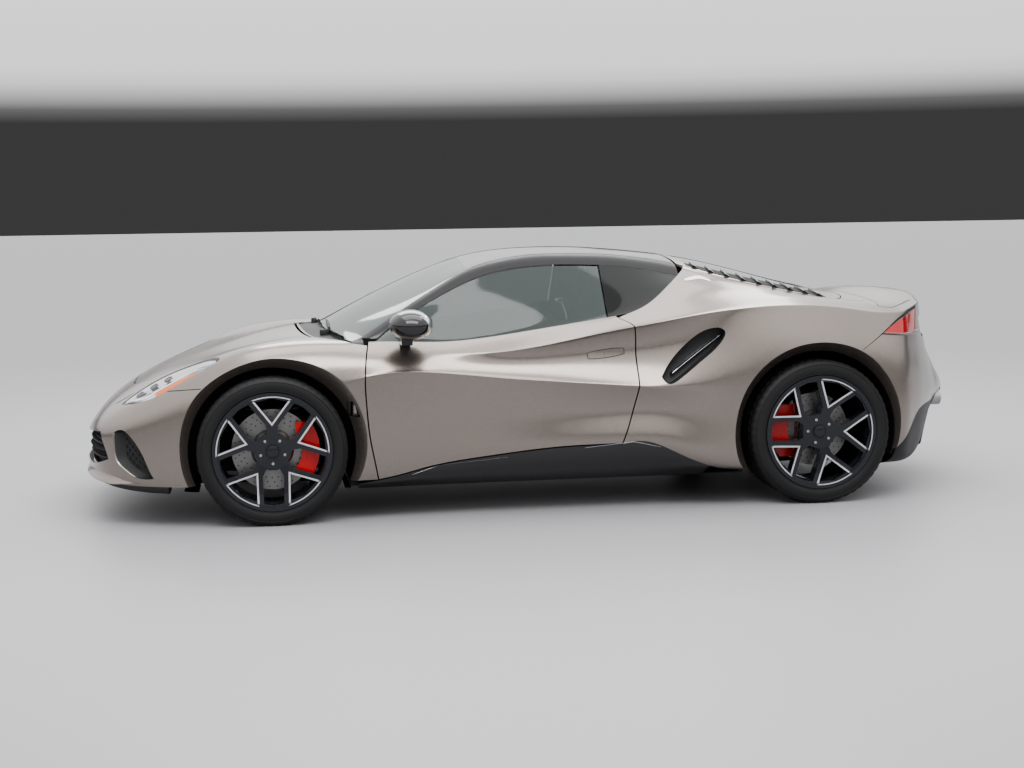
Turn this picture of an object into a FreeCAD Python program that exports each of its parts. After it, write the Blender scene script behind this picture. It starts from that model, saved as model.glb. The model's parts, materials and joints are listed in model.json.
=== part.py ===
import FreeCAD, Part

import math
import os

from FreeCAD import Vector

# Mid-engined two-seat coupe, nose towards +X, left side towards +Y, floor at Z = 0, millimetres.
# The origin is under the middle of the overall box.

# Driving dimensions
overall_length = 4413.0
overall_width = 1895.0
overall_height = 1226.0
wheelbase = 2575.0
front_axle_x = 1332.0
rear_axle_x = front_axle_x - wheelbase

# The body lines below are drawn for these sizes, and are stretched to the ones above.
DRAWN_LENGTH, DRAWN_WIDTH, DRAWN_HEIGHT = 4413.0, 1895.0, 1226.0
DRAWN_FRONT_AXLE, DRAWN_REAR_AXLE = 1332.0, -1243.0


def along(x):
    """Where a drawn x lies once the wheelbase and the overhangs have their real lengths."""
    half_drawn, half = DRAWN_LENGTH / 2, overall_length / 2
    if x > DRAWN_FRONT_AXLE:
        share = (x - DRAWN_FRONT_AXLE) / (half_drawn - DRAWN_FRONT_AXLE)
        return front_axle_x + share * (half - front_axle_x)
    if x < DRAWN_REAR_AXLE:
        share = (x - DRAWN_REAR_AXLE) / (-half_drawn - DRAWN_REAR_AXLE)
        return rear_axle_x + share * (-half - rear_axle_x)
    share = (x - DRAWN_REAR_AXLE) / (DRAWN_FRONT_AXLE - DRAWN_REAR_AXLE)
    return rear_axle_x + share * wheelbase


def across(y):
    return y * overall_width / DRAWN_WIDTH


def up(z):
    return z * overall_height / DRAWN_HEIGHT


def smooth(points):
    """A function of x through drawn points (x, value, ...), from the nose back, with no overshoot."""
    xs = [-p[0] for p in points]
    columns = list(zip(*[p[1:] for p in points]))
    slopes = []
    for c in columns:
        d = [(c[i + 1] - c[i]) / (xs[i + 1] - xs[i]) for i in range(len(xs) - 1)]
        m = [d[0]]
        for i in range(1, len(d)):
            m.append(0.0 if d[i - 1] * d[i] <= 0 else 2 * d[i - 1] * d[i] / (d[i - 1] + d[i]))
        slopes.append(m + [d[-1]])

    def at(x):
        t = min(max(-x, xs[0]), xs[-1])
        i = max(k for k in range(len(xs) - 1) if xs[k] <= t or k == 0)
        h = xs[i + 1] - xs[i]
        s = (t - xs[i]) / h
        a, b = 2 * s**3 - 3 * s**2 + 1, s**3 - 2 * s**2 + s
        c, d = -2 * s**3 + 3 * s**2, s**3 - s**2
        return [
            a * v[i] + b * h * m[i] + c * v[i + 1] + d * h * m[i + 1]
            for v, m in zip(columns, slopes)
        ]

    return at


# Character lines of the left half, nose to tail, each point (x, y, z).
LINES = {
    "floor": [(2206, 150, 250), (2150, 420, 190), (2000, 600, 150), (1700, 720, 140), (900, 720, 128),
        (-700, 720, 128), (-1300, 735, 138), (-1700, 690, 152), (-1800, 600, 160), (-1900, 470, 205),
        (-1980, 350, 262), (-2060, 240, 325), (-2120, 160, 365), (-2180, 90, 398), (-2206, 62, 415)],
    "rocker": [(2206, 235, 255), (2185, 385, 215), (2120, 560, 178), (2000, 705, 158), (1850, 800, 148),
        (1700, 855, 146), (1500, 885, 150), (950, 850, 165), (500, 846, 190), (-460, 852, 192),
        (-700, 880, 190), (-860, 905, 180), (-1243, 905, 205), (-1550, 880, 180), (-1600, 860, 178),
        (-1700, 812, 165), (-1800, 705, 170), (-1870, 600, 200), (-1935, 495, 245), (-1995, 390, 300),
        (-2055, 285, 350), (-2110, 200, 380), (-2165, 120, 402), (-2206, 74, 422)],
    "flare": [(2206, 250, 275), (2185, 410, 245), (2120, 590, 215), (2000, 735, 202), (1850, 825, 195),
        (1700, 872, 193), (1500, 905, 198), (1330, 912, 200), (950, 876, 200), (850, 862, 205),
        (650, 862, 240), (373, 878, 283), (180, 892, 303), (-10, 901, 318), (-288, 909, 332), (-455, 919, 322),
        (-566, 926, 275), (-677, 930, 228), (-860, 934, 196), (-1243, 934, 240), (-1550, 912, 215),
        (-1600, 902, 220), (-1680, 862, 232), (-1740, 796, 250), (-1825, 690, 280), (-1895, 586, 315),
        (-1955, 482, 345), (-2015, 376, 375), (-2070, 280, 398), (-2120, 196, 414), (-2175, 122, 426),
        (-2206, 84, 434)],
    "low_valley": [(2206, 255, 297), (2185, 418, 285), (2120, 600, 275), (2000, 748, 280), (1850, 835, 300),
        (1700, 880, 340), (1500, 912, 400), (1330, 920, 420), (950, 890, 400), (650, 878, 420),
        (373, 880, 440), (180, 880, 450), (-10, 876, 455), (-288, 872, 460), (-455, 880, 455),
        (-677, 912, 430), (-860, 934, 410), (-1243, 944, 420), (-1550, 932, 400), (-1600, 922, 405),
        (-1680, 884, 415), (-1740, 822, 420), (-1825, 716, 428), (-1895, 612, 434), (-1960, 510, 440),
        (-2020, 406, 443), (-2075, 308, 446), (-2135, 214, 448), (-2182, 120, 450), (-2206, 80, 450)],
    "low_crease": [(2206, 257, 317), (2185, 420, 325), (2120, 603, 345), (2000, 752, 372), (1850, 838, 425),
        (1700, 884, 490), (1500, 916, 575), (1330, 924, 620), (1150, 914, 636), (1023, 902, 645),
        (903, 894, 660), (746, 892, 678), (560, 896, 668), (278, 902, 640), (-6, 907, 617), (-358, 912, 590),
        (-470, 918, 584), (-600, 928, 592), (-750, 936, 618), (-900, 944, 640), (-1243, 948, 650),
        (-1400, 945, 640), (-1600, 912, 610), (-1680, 872, 590), (-1740, 812, 575), (-1825, 706, 560),
        (-1895, 604, 548), (-1960, 502, 536), (-2020, 400, 524), (-2075, 302, 512), (-2120, 232, 502),
        (-2150, 178, 494), (-2182, 112, 486), (-2206, 72, 478)],
    "channel": [(2206, 257, 333), (2185, 418, 352), (2120, 598, 392), (2000, 745, 450), (1850, 828, 520),
        (1700, 872, 590), (1500, 902, 668), (1330, 912, 705), (1150, 900, 712), (1023, 884, 717),
        (900, 872, 724), (746, 866, 727), (560, 866, 714), (373, 862, 704), (180, 852, 708), (-6, 844, 722),
        (-200, 836, 738), (-358, 834, 748), (-500, 842, 764), (-650, 872, 788), (-800, 904, 800),
        (-950, 922, 800), (-1243, 930, 785), (-1420, 925, 770), (-1600, 888, 735), (-1680, 840, 722),
        (-1718, 800, 715), (-1790, 705, 708), (-1860, 605, 705), (-1920, 505, 704), (-1975, 402, 700),
        (-2020, 302, 694), (-2060, 203, 684), (-2100, 135, 650), (-2150, 110, 560), (-2190, 72, 508),
        (-2206, 58, 492)],
    "shoulder": [(2206, 254, 349), (2185, 405, 380), (2120, 575, 434), (2000, 710, 504), (1850, 790, 586),
        (1700, 830, 657), (1500, 856, 740), (1330, 864, 784), (1150, 852, 792), (1023, 835, 790),
        (900, 826, 782), (746, 830, 768), (560, 840, 758), (373, 850, 756), (180, 862, 772), (-18, 870, 804),
        (-211, 876, 841), (-347, 878, 861), (-515, 884, 887), (-681, 890, 914), (-848, 888, 932),
        (-1073, 872, 942), (-1299, 860, 932), (-1471, 850, 906), (-1600, 820, 890), (-1682, 795, 893),
        (-1724, 745, 897), (-1763, 695, 902), (-1833, 597, 910), (-1892, 498, 914), (-1940, 398, 913),
        (-1978, 298, 911), (-2005, 195, 908), (-2024, 110, 895), (-2060, 150, 725), (-2100, 92, 672),
        (-2150, 82, 572), (-2190, 56, 515), (-2206, 46, 500)],
    "belt_outer": [(2206, 246, 362), (2185, 370, 393), (2120, 520, 462), (2000, 650, 541), (1850, 722, 620),
        (1700, 764, 692), (1500, 790, 776), (1330, 796, 816), (1150, 790, 824), (1000, 788, 816),
        (882, 785, 812), (525, 793, 806), (258, 800, 830), (-30, 802, 868), (-234, 794, 898), (-293, 790, 909),
        (-400, 800, 922), (-515, 802, 940), (-681, 800, 962), (-848, 790, 974), (-1073, 772, 977),
        (-1299, 760, 962), (-1471, 752, 940), (-1600, 726, 930), (-1682, 706, 930), (-1724, 660, 932),
        (-1763, 615, 936), (-1833, 525, 938), (-1892, 432, 941), (-1940, 342, 939), (-1978, 252, 935),
        (-2005, 162, 930), (-2024, 92, 914), (-2060, 132, 735), (-2100, 78, 680), (-2150, 70, 580),
        (-2190, 48, 522), (-2206, 40, 506)],
    "belt_inner": [(2206, 228, 374), (2185, 325, 408), (2120, 440, 483), (2000, 560, 562), (1850, 640, 642),
        (1700, 688, 708), (1500, 715, 788), (1330, 718, 824), (1150, 716, 836), (1000, 745, 825),
        (882, 768, 820), (525, 776, 816), (258, 782, 842), (-30, 782, 880), (-234, 770, 912), (-293, 764, 924),
        (-400, 745, 962), (-515, 724, 992), (-681, 705, 1008), (-848, 698, 1008), (-1073, 692, 994),
        (-1299, 688, 970), (-1471, 685, 950), (-1600, 664, 938), (-1682, 645, 938), (-1724, 600, 942),
        (-1763, 555, 948), (-1833, 468, 951), (-1892, 380, 953), (-1940, 298, 951), (-1978, 218, 946),
        (-2005, 138, 940), (-2024, 78, 923), (-2060, 115, 745), (-2100, 66, 686), (-2150, 60, 586),
        (-2190, 42, 527), (-2206, 34, 510)],
    "side_glass": [(2206, 195, 383), (2185, 270, 417), (2120, 355, 494), (2000, 455, 576), (1850, 540, 654),
        (1700, 590, 714), (1500, 622, 780), (1330, 632, 822), (1150, 642, 840), (1000, 715, 822),
        (900, 748, 826), (750, 732, 862), (600, 720, 900), (400, 704, 948), (200, 694, 985), (0, 686, 1008),
        (-200, 680, 1022), (-350, 674, 1030), (-500, 664, 1048), (-647, 648, 1052), (-800, 640, 1040),
        (-1073, 632, 1008), (-1299, 625, 972), (-1471, 615, 950), (-1600, 596, 940), (-1682, 575, 942),
        (-1724, 530, 948), (-1763, 488, 956), (-1833, 405, 961), (-1892, 325, 962), (-1940, 252, 959),
        (-1978, 183, 953), (-2005, 116, 946), (-2024, 65, 929), (-2060, 98, 753), (-2100, 55, 691),
        (-2150, 50, 591), (-2190, 35, 531), (-2206, 28, 514)],
    "side_glass_top": [(2206, 150, 388), (2185, 200, 423), (2120, 265, 501), (2000, 345, 585),
        (1850, 425, 660), (1700, 475, 716), (1500, 512, 776), (1330, 538, 812), (1150, 582, 834),
        (1000, 690, 815), (930, 712, 812), (850, 702, 842), (750, 682, 898), (650, 662, 955), (505, 632, 1033),
        (329, 600, 1105), (183, 582, 1138), (37, 572, 1151), (-109, 568, 1153), (-277, 568, 1147),
        (-407, 570, 1135), (-524, 574, 1115), (-647, 580, 1088), (-800, 582, 1068), (-1073, 580, 1020),
        (-1299, 575, 975), (-1471, 560, 948), (-1600, 535, 942), (-1682, 510, 947), (-1724, 465, 954),
        (-1763, 425, 963), (-1833, 345, 968), (-1892, 270, 968), (-1940, 207, 964), (-1978, 148, 958),
        (-2005, 94, 951), (-2024, 53, 933), (-2060, 80, 761), (-2100, 45, 696), (-2150, 41, 596),
        (-2190, 28, 535), (-2206, 23, 517)],
    "cantrail": [(2206, 100, 391), (2185, 132, 427), (2120, 175, 505), (2000, 230, 589), (1850, 300, 664),
        (1700, 350, 716), (1500, 388, 776), (1330, 424, 812), (1150, 484, 832), (1010, 640, 812),
        (950, 668, 822), (850, 650, 874), (750, 630, 935), (650, 610, 995), (505, 580, 1076), (396, 550, 1135),
        (206, 520, 1179), (57, 505, 1197), (-192, 500, 1196), (-394, 500, 1181), (-565, 505, 1157),
        (-700, 515, 1125), (-812, 522, 1095), (-1043, 530, 1041), (-1277, 530, 990), (-1395, 520, 962),
        (-1500, 500, 944), (-1600, 470, 948), (-1682, 445, 952), (-1724, 402, 959), (-1763, 365, 968),
        (-1833, 285, 973), (-1892, 222, 972), (-1940, 168, 967), (-1978, 118, 961), (-2005, 75, 954),
        (-2024, 42, 936), (-2060, 62, 768), (-2100, 35, 700), (-2150, 32, 600), (-2190, 22, 538),
        (-2206, 18, 520)],
    "roof_side": [(2206, 50, 393), (2185, 66, 429), (2120, 88, 507), (2000, 115, 591), (1850, 150, 666),
        (1700, 175, 716), (1500, 192, 780), (1330, 210, 822), (1150, 250, 850), (1060, 280, 858),
        (940, 300, 912), (780, 300, 985), (620, 295, 1062), (480, 285, 1118), (376, 275, 1155),
        (234, 265, 1191), (76, 255, 1209), (-136, 250, 1214), (-403, 250, 1199), (-618, 252, 1175),
        (-802, 258, 1145), (-925, 262, 1115), (-1111, 265, 1067), (-1299, 262, 1017), (-1440, 255, 985),
        (-1560, 240, 962), (-1650, 225, 963), (-1763, 190, 972), (-1833, 140, 977), (-1892, 108, 975),
        (-1940, 80, 970), (-1978, 57, 963), (-2005, 37, 956), (-2024, 21, 938), (-2060, 32, 776),
        (-2100, 18, 704), (-2150, 16, 603), (-2190, 11, 540), (-2206, 9, 522)],
    "centre": [(2206, 0, 394), (2185, 0, 430), (2120, 0, 508), (2000, 0, 592), (1850, 0, 667), (1700, 0, 717),
        (1500, 0, 784), (1330, 0, 831), (1150, 0, 859), (1075, 0, 866), (960, 0, 925), (811, 0, 1002),
        (654, 0, 1074), (497, 0, 1138), (376, 0, 1177), (234, 0, 1205), (76, 0, 1219), (-136, 0, 1223),
        (-403, 0, 1207), (-618, 0, 1183), (-802, 0, 1154), (-925, 0, 1125), (-1111, 0, 1077), (-1299, 0, 1027),
        (-1440, 0, 997), (-1560, 0, 970), (-1650, 0, 968), (-1763, 0, 976), (-1833, 0, 979), (-1892, 0, 977),
        (-1940, 0, 971), (-1978, 0, 964), (-2005, 0, 957), (-2024, 0, 939), (-2060, 0, 780), (-2100, 0, 706),
        (-2150, 0, 605), (-2190, 0, 542), (-2206, 0, 524)],
}
STATIONS = [2206, 2192, 2150, 2080, 1980, 1850, 1700, 1550, 1430, 1330, 1220, 1110, 1010, 965, 900, 800, 680, 540,
            400, 250, 80, -100, -260, -360, -480, -610, -750, -900, -1060, -1243, -1400, -1520, -1620, -1690,
            -1740, -1790, -1840, -1885, -1925, -1960, -1990, -2012, -2030, -2055, -2090, -2130, -2165, -2192,
            -2206]
scuttle_sweep = 100.0


def scuttle_shift(x, share):
    """The windscreen's base is further forward in the middle, so upper lines are met further forward there."""
    ahead, at, behind = 1330.0, 965.0, 500.0
    reach = (ahead - x) / (ahead - at) if x > at else (x - behind) / (at - behind)
    return scuttle_sweep * share * max(0.0, min(1.0, reach))


SCUTTLE_SHARES = {"side_glass_top": 0.0, "cantrail": 0.0, "roof_side": 0.85, "centre": 1.0}


# Two lines are creases. Each becomes a pair of rows, and the closer the pair the sharper the crease.
# Points are (x, share of the way to the neighbouring lines at which the pair stands).
CREASES = {
    "low_crease": [(2206, 0.3), (1330, 0.3), (1023, 0.14), (903, 0.05), (560, 0.04), (-358, 0.05), (-500, 0.1),
                   (-800, 0.3), (-2206, 0.3)],
    "shoulder": [(2206, 0.3), (600, 0.3), (440, 0.16), (300, 0.05), (0, 0.03), (-900, 0.03), (-1100, 0.06),
                 (-1600, 0.08), (-2012, 0.06), (-2060, 0.3), (-2206, 0.3)],
}


def half_net():
    """Poles of the skin's left half, floor to roof: lines by stations, creases doubled."""
    names = list(LINES)
    lines = {name: smooth(points) for name, points in LINES.items()}
    rows = []
    for i, name in enumerate(names):
        share = SCUTTLE_SHARES.get(name, 0.0)
        row, twin = [], []
        spread = smooth(CREASES[name]) if name in CREASES else None
        for x in STATIONS:
            px = x + scuttle_shift(x, share)
            y, z = lines[name](px)
            here = Vector(px, y, z)
            if spread is None:
                row.append(here)
                continue
            k = spread(px)[0]
            for target, other in ((row, names[i - 1]), (twin, names[i + 1])):
                oy, oz = lines[other](px)
                target.append(here.add(Vector(0, (oy - y) * k, (oz - z) * k)))
        rows.append(row)
        if twin:
            rows.append(twin)
    rows = sharpened(rows)
    return [[Vector(along(p.x), across(p.y), up(p.z)) for p in row] for row in rows]


def sharpened(rows):
    """Moves the poles out by what the surface would fall short of them."""
    n, m = len(rows), len(rows[0])

    def at(i, j):
        if i >= n:
            p = rows[2 * (n - 1) - i][j]
            return Vector(p.x, -p.y, p.z)
        return rows[i][j]

    result = []
    for i in range(n):
        row = []
        for j in range(m):
            p = at(i, j)
            q = Vector(p)
            if 1 < i:
                q = q.add(p.multiply(1.0).sub(at(i - 1, j).add(at(i + 1, j)).multiply(0.5)).multiply(1 / 3))
            if 1 < j < m - 2:
                q = q.add(at(i, j).sub(at(i, j - 1).add(at(i, j + 1)).multiply(0.5)).multiply(1 / 3))
            if i == n - 1:
                q.y = 0.0
            row.append(q)
        result.append(row)
    return result


def offset_net(rows, depth):
    """The half net moved inwards by a depth, square to itself."""
    n, m = len(rows), len(rows[0])
    moved = []
    for i in range(n):
        row = []
        for j in range(m):
            a = rows[max(i - 1, 0)][j]
            b = rows[i + 1][j] if i + 1 < n else Vector(rows[i - 1][j].x, -rows[i - 1][j].y, rows[i - 1][j].z)
            across_v = b.sub(a)
            along_v = rows[i][min(j + 1, m - 1)].sub(rows[i][max(j - 1, 0)])
            normal = across_v.cross(along_v)
            normal.normalize()
            p = rows[i][j].add(normal.multiply(depth))
            if rows[i][j].y == 0:
                p.y = 0
            row.append(p)
        moved.append(row)
    return moved


def surface_of(net):
    def knots(count):
        return [float(k) for k in range(count - 2)], [4] + [1] * (count - 4) + [4]

    u_knots, u_mults = knots(len(net))
    v_knots, v_mults = knots(len(net[0]))
    s = Part.BSplineSurface()
    s.buildFromPolesMultsKnots(net, u_mults, v_mults, u_knots, v_knots, False, False, 3, 3)
    return s


def body_solid(depth=0.0):
    """The whole body as one solid, its skin moved inwards by a depth."""
    half = half_net()
    if depth:
        half = offset_net(half, depth)
        for row in half:
            row[0].x = along(STATIONS[0]) - depth
            row[-1].x = along(STATIONS[-1]) + depth
    net = half + [[Vector(p.x, -p.y, p.z) for p in row] for row in reversed(half[:-1])]
    skin = surface_of(net).toShape()
    sides = [e for e in skin.Edges if abs(e.Vertexes[0].Point.x - e.Vertexes[-1].Point.x) > 100]
    ends = [e for e in skin.Edges if not any(e.isSame(s) for s in sides)]
    faces = [skin, Part.makeRuledSurface(sides[0], sides[1])]
    for e in ends:
        chord = Part.makeLine(e.Vertexes[0].Point, e.Vertexes[-1].Point)
        faces.append(Part.Face(Part.Wire([e, chord])))
    shell = Part.makeShell(faces)
    shell.sewShape()
    solid = Part.Solid(Part.Shell(shell.Faces))
    if solid.Volume < 0:
        solid.reverse()
    return solid


BODY_CACHE = {}


def body(depth=0.0):
    if depth not in BODY_CACHE:
        BODY_CACHE[depth] = body_solid(depth)
    return BODY_CACHE[depth]


def layer(outer, inner):
    """The wall between two depths under the skin."""
    if (outer, inner) not in BODY_CACHE:
        BODY_CACHE[outer, inner] = body(outer).cut(body(inner))
    return BODY_CACHE[outer, inner]


# Cutters. A side curve lies in the XZ plane, a plan curve in the XY plane.
FAR = 3000.0


def curve(points):
    if len(points) == 2:
        return Part.makeLine(points[0], points[1])
    c = Part.BSplineCurve()
    c.interpolate(points)
    return c.toShape()


def side_half(points, towards, shift=(0.0, 0.0), y0=0.0, y1=FAR):
    """Everything to one side (front, back, above, below) of a curve drawn in side view."""
    pts = [Vector(along(x) + shift[0], y0, up(z) + shift[1]) for x, z in points]
    a, b = pts[0], pts[-1]
    if towards in ("front", "back"):
        far_x = FAR if towards == "front" else -FAR
        end = FAR if b.z > a.z else -FAR
        corners = [Vector(b.x, y0, end), Vector(far_x, y0, end), Vector(far_x, y0, -end), Vector(a.x, y0, -end)]
    else:
        far_z = FAR if towards == "above" else -FAR
        end = FAR if b.x > a.x else -FAR
        corners = [Vector(end, y0, b.z), Vector(end, y0, far_z), Vector(-end, y0, far_z), Vector(-end, y0, a.z)]
    face = Part.Face(Part.Wire([curve(pts)] + Part.makePolygon([b] + corners + [a]).Edges))
    return face.extrude(Vector(0, y1 - y0, 0))


def plan_area(sides, z0=0.0, z1=FAR):
    """A prism along Z on a symmetric plan outline given by the curves of its left half, front to back."""
    edges = []
    for points in sides:
        for sign in (1, -1):
            pts = [Vector(along(x), sign * across(y), z0) for x, y in points]
            edges.append((points, sign, pts))
    wire_edges = []
    for points, sign, pts in edges:
        if points[0][1] == 0 and sign == 1:
            full = [Vector(p.x, -p.y, p.z) for p in reversed(pts[1:])] + pts
            wire_edges.append(curve(full))
        elif points[-1][1] == 0 and sign == 1:
            full = pts + [Vector(p.x, -p.y, p.z) for p in reversed(pts[:-1])]
            wire_edges.append(curve(full))
        elif points[0][1] != 0 and points[-1][1] != 0:
            wire_edges.append(curve(pts))
    wire = Part.Wire(Part.__sortEdges__(wire_edges))
    return Part.Face(wire).extrude(Vector(0, 0, z1 - z0))


def box(x0, x1, y0, y1, z0, z1):
    return Part.makeBox(x1 - x0, y1 - y0, z1 - z0, Vector(x0, y0, z0))


def mirrored(shape):
    return shape.mirror(Vector(0, 0, 0), Vector(0, 1, 0))


def both(shape):
    """A left piece and its mirror image, kept as two solids."""
    return Part.makeCompound(shape.Solids + mirrored(shape).Solids)


def rod(a, b, radius):
    d = b.sub(a)
    return Part.makeCylinder(radius, d.Length, a, d)


def biggest(shape, count=1):
    """The largest solids of a cut shape, without the crumbs."""
    return Part.makeCompound(sorted(shape.Solids, key=lambda s: -s.Volume)[:count])


NODES = {}


def keep(name, shape):
    solids = shape.Solids
    NODES[name] = solids[0] if len(solids) == 1 else Part.makeCompound(solids)


# Named sizes of single pieces
panel = 5.0
glass = 5.0
shut_gap = 6.0
bonnet_swing = 6.0
flange_depth = 7.0
flange_setback = 34.0
front_setback = 20.0
roof_wall = 26.0
pillar_wall = 34.0
bonnet_wall = 14.0
lid_wall = 12.0
door_inner_y = 738.0
seal_gap = 0.3

front_tyre_radius, front_tyre_width, front_wheel_y = 340.0, 245.0, 783.0
rear_tyre_radius, rear_tyre_width, rear_wheel_y = 342.5, 300.0, 775.0
rim_seat_radius = 254.7
rim_flange_radius = 270.0
arch_clearance_front, arch_clearance_rear = 38.0, 41.0
well_clearance = 44.0
steer_limit = 28.0
kingpin_inset = 42.0
column_rake = 22.0
column_radius, column_length = 15.0, 165.0
wheel_rim_radius = 178.0
driver_y = 370.0
seat_width, seat_back_depth, seat_rake = 450.0, 110.0, 22.0
cushion_top, cushion_bolster = 330.0, 60.0
door_pivot_x, door_pivot_y = 955.0, 862.0
DOOR_HINGE_Z = (520.0, 655.0)
hinge_pin, hinge_eye, hinge_height = 7.0, 13.0, 38.0
front_wall_x = along(975) + seal_gap
rear_wall_x = along(-420) - seal_gap
bonnet_pivot_x, bonnet_pivot_z = 1060.0, 795.0
tailgate_pivot_x, tailgate_pivot_z = -560.0, 1140.0
lid_hinge_y = 200.0
bulkhead_wall = 14.0
tray_wall = 5.0
jack_front_x, jack_rear_x, jack_y = 750.0, -250.0, 640.0
rail_y = 340.0
UPPER_ARM_Z, LOWER_ARM_Z = 135.0, -148.0
arm_slot = 132.0
running_gap = 0.05

# Shut lines and glass edges, side view (x, z)
DOOR_FRONT = [(846, 120), (858, 189), (877, 291), (894, 386), (906, 518), (911, 639), (904, 732), (885, 824), (850, 930)]
DOOR_REAR = [(-262, 240), (-286, 319), (-320, 409), (-355, 533), (-365, 599), (-363, 724), (-357, 838), (-343, 872),
             (-299, 897), (-275, 924)]
DOOR_BOTTOM = [(980, 168), (846, 187), (752, 205), (658, 229), (563, 249), (373, 275), (181, 297), (-10, 312),
               (-288, 317), (-420, 322)]
BELT = [(1010, 812), (882, 818), (525, 810), (258, 834), (-30, 874), (-234, 902), (-400, 930)]
BODY_BOTTOM_REAR = [(-200, 317), (-288, 317), (-351, 330), (-455, 310), (-566, 257), (-677, 209), (-756, 184), (-859, 174),
                    (-1100, 170)]
GLASS_TOP = [(1000, 712), (872, 807), (650, 954), (505, 1032), (329, 1104), (183, 1135), (37, 1147), (-109, 1147),
             (-277, 1140), (-407, 1128), (-524, 1107), (-647, 1079), (-800, 1032)]
QUARTER_LOW = [(-200, 860), (-307, 908), (-412, 946), (-502, 998), (-569, 1046), (-631, 1088), (-690, 1140)]
BUMPER_LINE = [(-1380, 690), (-1434, 723), (-1573, 796), (-1690, 861), (-1788, 931), (-1830, 1000)]
glass_split_x = -240.0
TRAY_TOP = [(2206, 142), (900, 142), (-700, 142), (-1300, 160), (-1490, 164), (-1700, 190), (-1900, 240), (-2000, 300)]

# Plan outlines of the left half (x, y), front to back
COWL_FRONT = [(1175, 0), (1160, 300), (1110, 560), (1030, 720), (955, 790)]
SCREEN_BASE = [(1078, 0), (1062, 250), (1015, 520), (952, 690)]
SCREEN_SIDE = [(952, 690), (760, 640), (560, 590), (396, 550)]
SCREEN_TOP = [(396, 550), (384, 280), (380, 0)]
ROOF_SIDE = [(396, 550), (206, 508), (0, 490), (-250, 486), (-480, 492), (-625, 502)]
ROOF_REAR = [(-625, 502), (-632, 250), (-634, 0)]
BONNET_FRONT = [(1985, 0), (1960, 300), (1880, 440)]
BONNET_SIDE = [(1880, 440), (1600, 500), (1350, 535), (1128, 540)]
BONNET_REAR = [(1128, 540), (1172, 300), (1186, 0)]
TAILGATE_FRONT = [(-640, 0), (-640, 300), (-640, 500)]
TAILGATE_SIDE = [(-640, 500), (-812, 560), (-1043, 590), (-1277, 585), (-1440, 560)]
TAILGATE_REAR = [(-1440, 560), (-1530, 400), (-1560, 0)]


# Lamps and openings of the left half, each outline as the curves of its sides
LAMP = [
    [(2012, 598), (1942, 588), (1838, 574), (1733, 584), (1625, 655), (1552, 770)],
    [(1552, 770), (1575, 797), (1660, 802), (1760, 796), (1826, 784), (1910, 739), (2012, 598)],
]
CORNER_INTAKE = [
    [(700, 428), (751, 441), (781, 407), (811, 319), (822, 228)],
    [(822, 228), (782, 229), (752, 258), (719, 296), (706, 350), (700, 428)],
]
NOSE_INTAKE = [
    [(0, 262), (300, 266), (560, 274), (672, 304)],
    [(672, 304), (640, 372), (598, 424)],
    [(598, 424), (300, 400), (0, 386)],
    [(0, 386), (0, 262)],
]
SIDE_INTAKE = [
    [(-471, 627), (-511, 687), (-601, 782), (-675, 835), (-745, 850)],
    [(-745, 850), (-776, 832), (-747, 770), (-669, 702), (-555, 615), (-505, 594), (-471, 627)],
]
SIDE_VANE = [[(-525, 634), (-762, 812)], [(-762, 812), (-766, 819)], [(-766, 819), (-529, 641)], [(-529, 641), (-525, 634)]]
TAIL_LAMP = [
    [(-1568, 804), (-1674, 858), (-1760, 882), (-1850, 895)],
    [(-1850, 895), (-1836, 850), (-1824, 792)],
    [(-1824, 792), (-1700, 794), (-1568, 804)],
]
REAR_GRILLE = [
    [(0, 744), (250, 744), (490, 748)],
    [(490, 748), (520, 800), (530, 850)],
    [(530, 850), (300, 858), (0, 860)],
    [(0, 860), (0, 744)],
]
DIFFUSER_LINE = [(-1540, 170), (-1620, 244), (-1687, 296), (-1795, 408), (-1900, 425), (-2206, 445)]
collar = 8.0
intake_depth, side_intake_depth, grille_depth = 38.0, 60.0, 30.0
FIN_Y = (110.0, 300.0, 470.0)
fin_wall = 6.0
pipe_radius, pipe_wall, pipe_y, pipe_z = 40.0, 3.0, 118.0, 392.0


def prism(sides, view, a0, a1):
    """A prism on an outline drawn in plan (x, y), side view (x, z) or end view (y, z)."""
    def point(p, a):
        if view == "plan":
            return Vector(along(p[0]), across(p[1]), a)
        if view == "side":
            return Vector(along(p[0]), a, up(p[1]))
        return Vector(a, across(p[0]), up(p[1]))

    wire = Part.Wire([curve([point(p, a0) for p in points]) for points in sides])
    return Part.Face(wire).extrude(point((0, 0), a1).sub(point((0, 0), a0)))


def grown(sides, margin):
    """An outline's points moved out from its middle by a margin; points on the centre plane stay there."""
    points = [p for side in sides for p in side]
    cx = sum(p[0] for p in points) / len(points)
    cy = sum(p[1] for p in points) / len(points)

    def moved(p):
        reach = math.hypot(p[0] - cx, p[1] - cy)
        k = 1 + margin / reach
        return (0 if p[0] == 0 else cx + (p[0] - cx) * k, cy + (p[1] - cy) * k)

    return [[moved(p) for p in side] for side in sides]


def duct(sides, view, a0, a1, depth, standing=()):
    """A pan seated behind an opening in the skin, with vanes or slats left standing in it."""
    wide = body(panel + seal_gap).common(prism(grown(sides, collar), view, a0, a1))
    pan = wide.cut(body(depth + panel))
    hollow = prism(sides, view, a0, a1).cut(body(depth))
    for bar in standing:
        hollow = hollow.cut(bar.common(body(depth / 2)))
    return biggest(pan.cut(hollow))


def lip_cone(hub, radius, ys, extra=0.0):
    """The cone that the arch's lip is chamfered on: its radius grows by lip_rise between the two ys."""
    slope = lip_rise / (ys[1] - ys[0])
    length = ys[1] - ys[0] + 60
    return Part.makeCone(radius + extra, radius + extra + slope * length, length, Vector(hub.x, ys[0], hub.z),
                         Vector(0, 1, 0))


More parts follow.
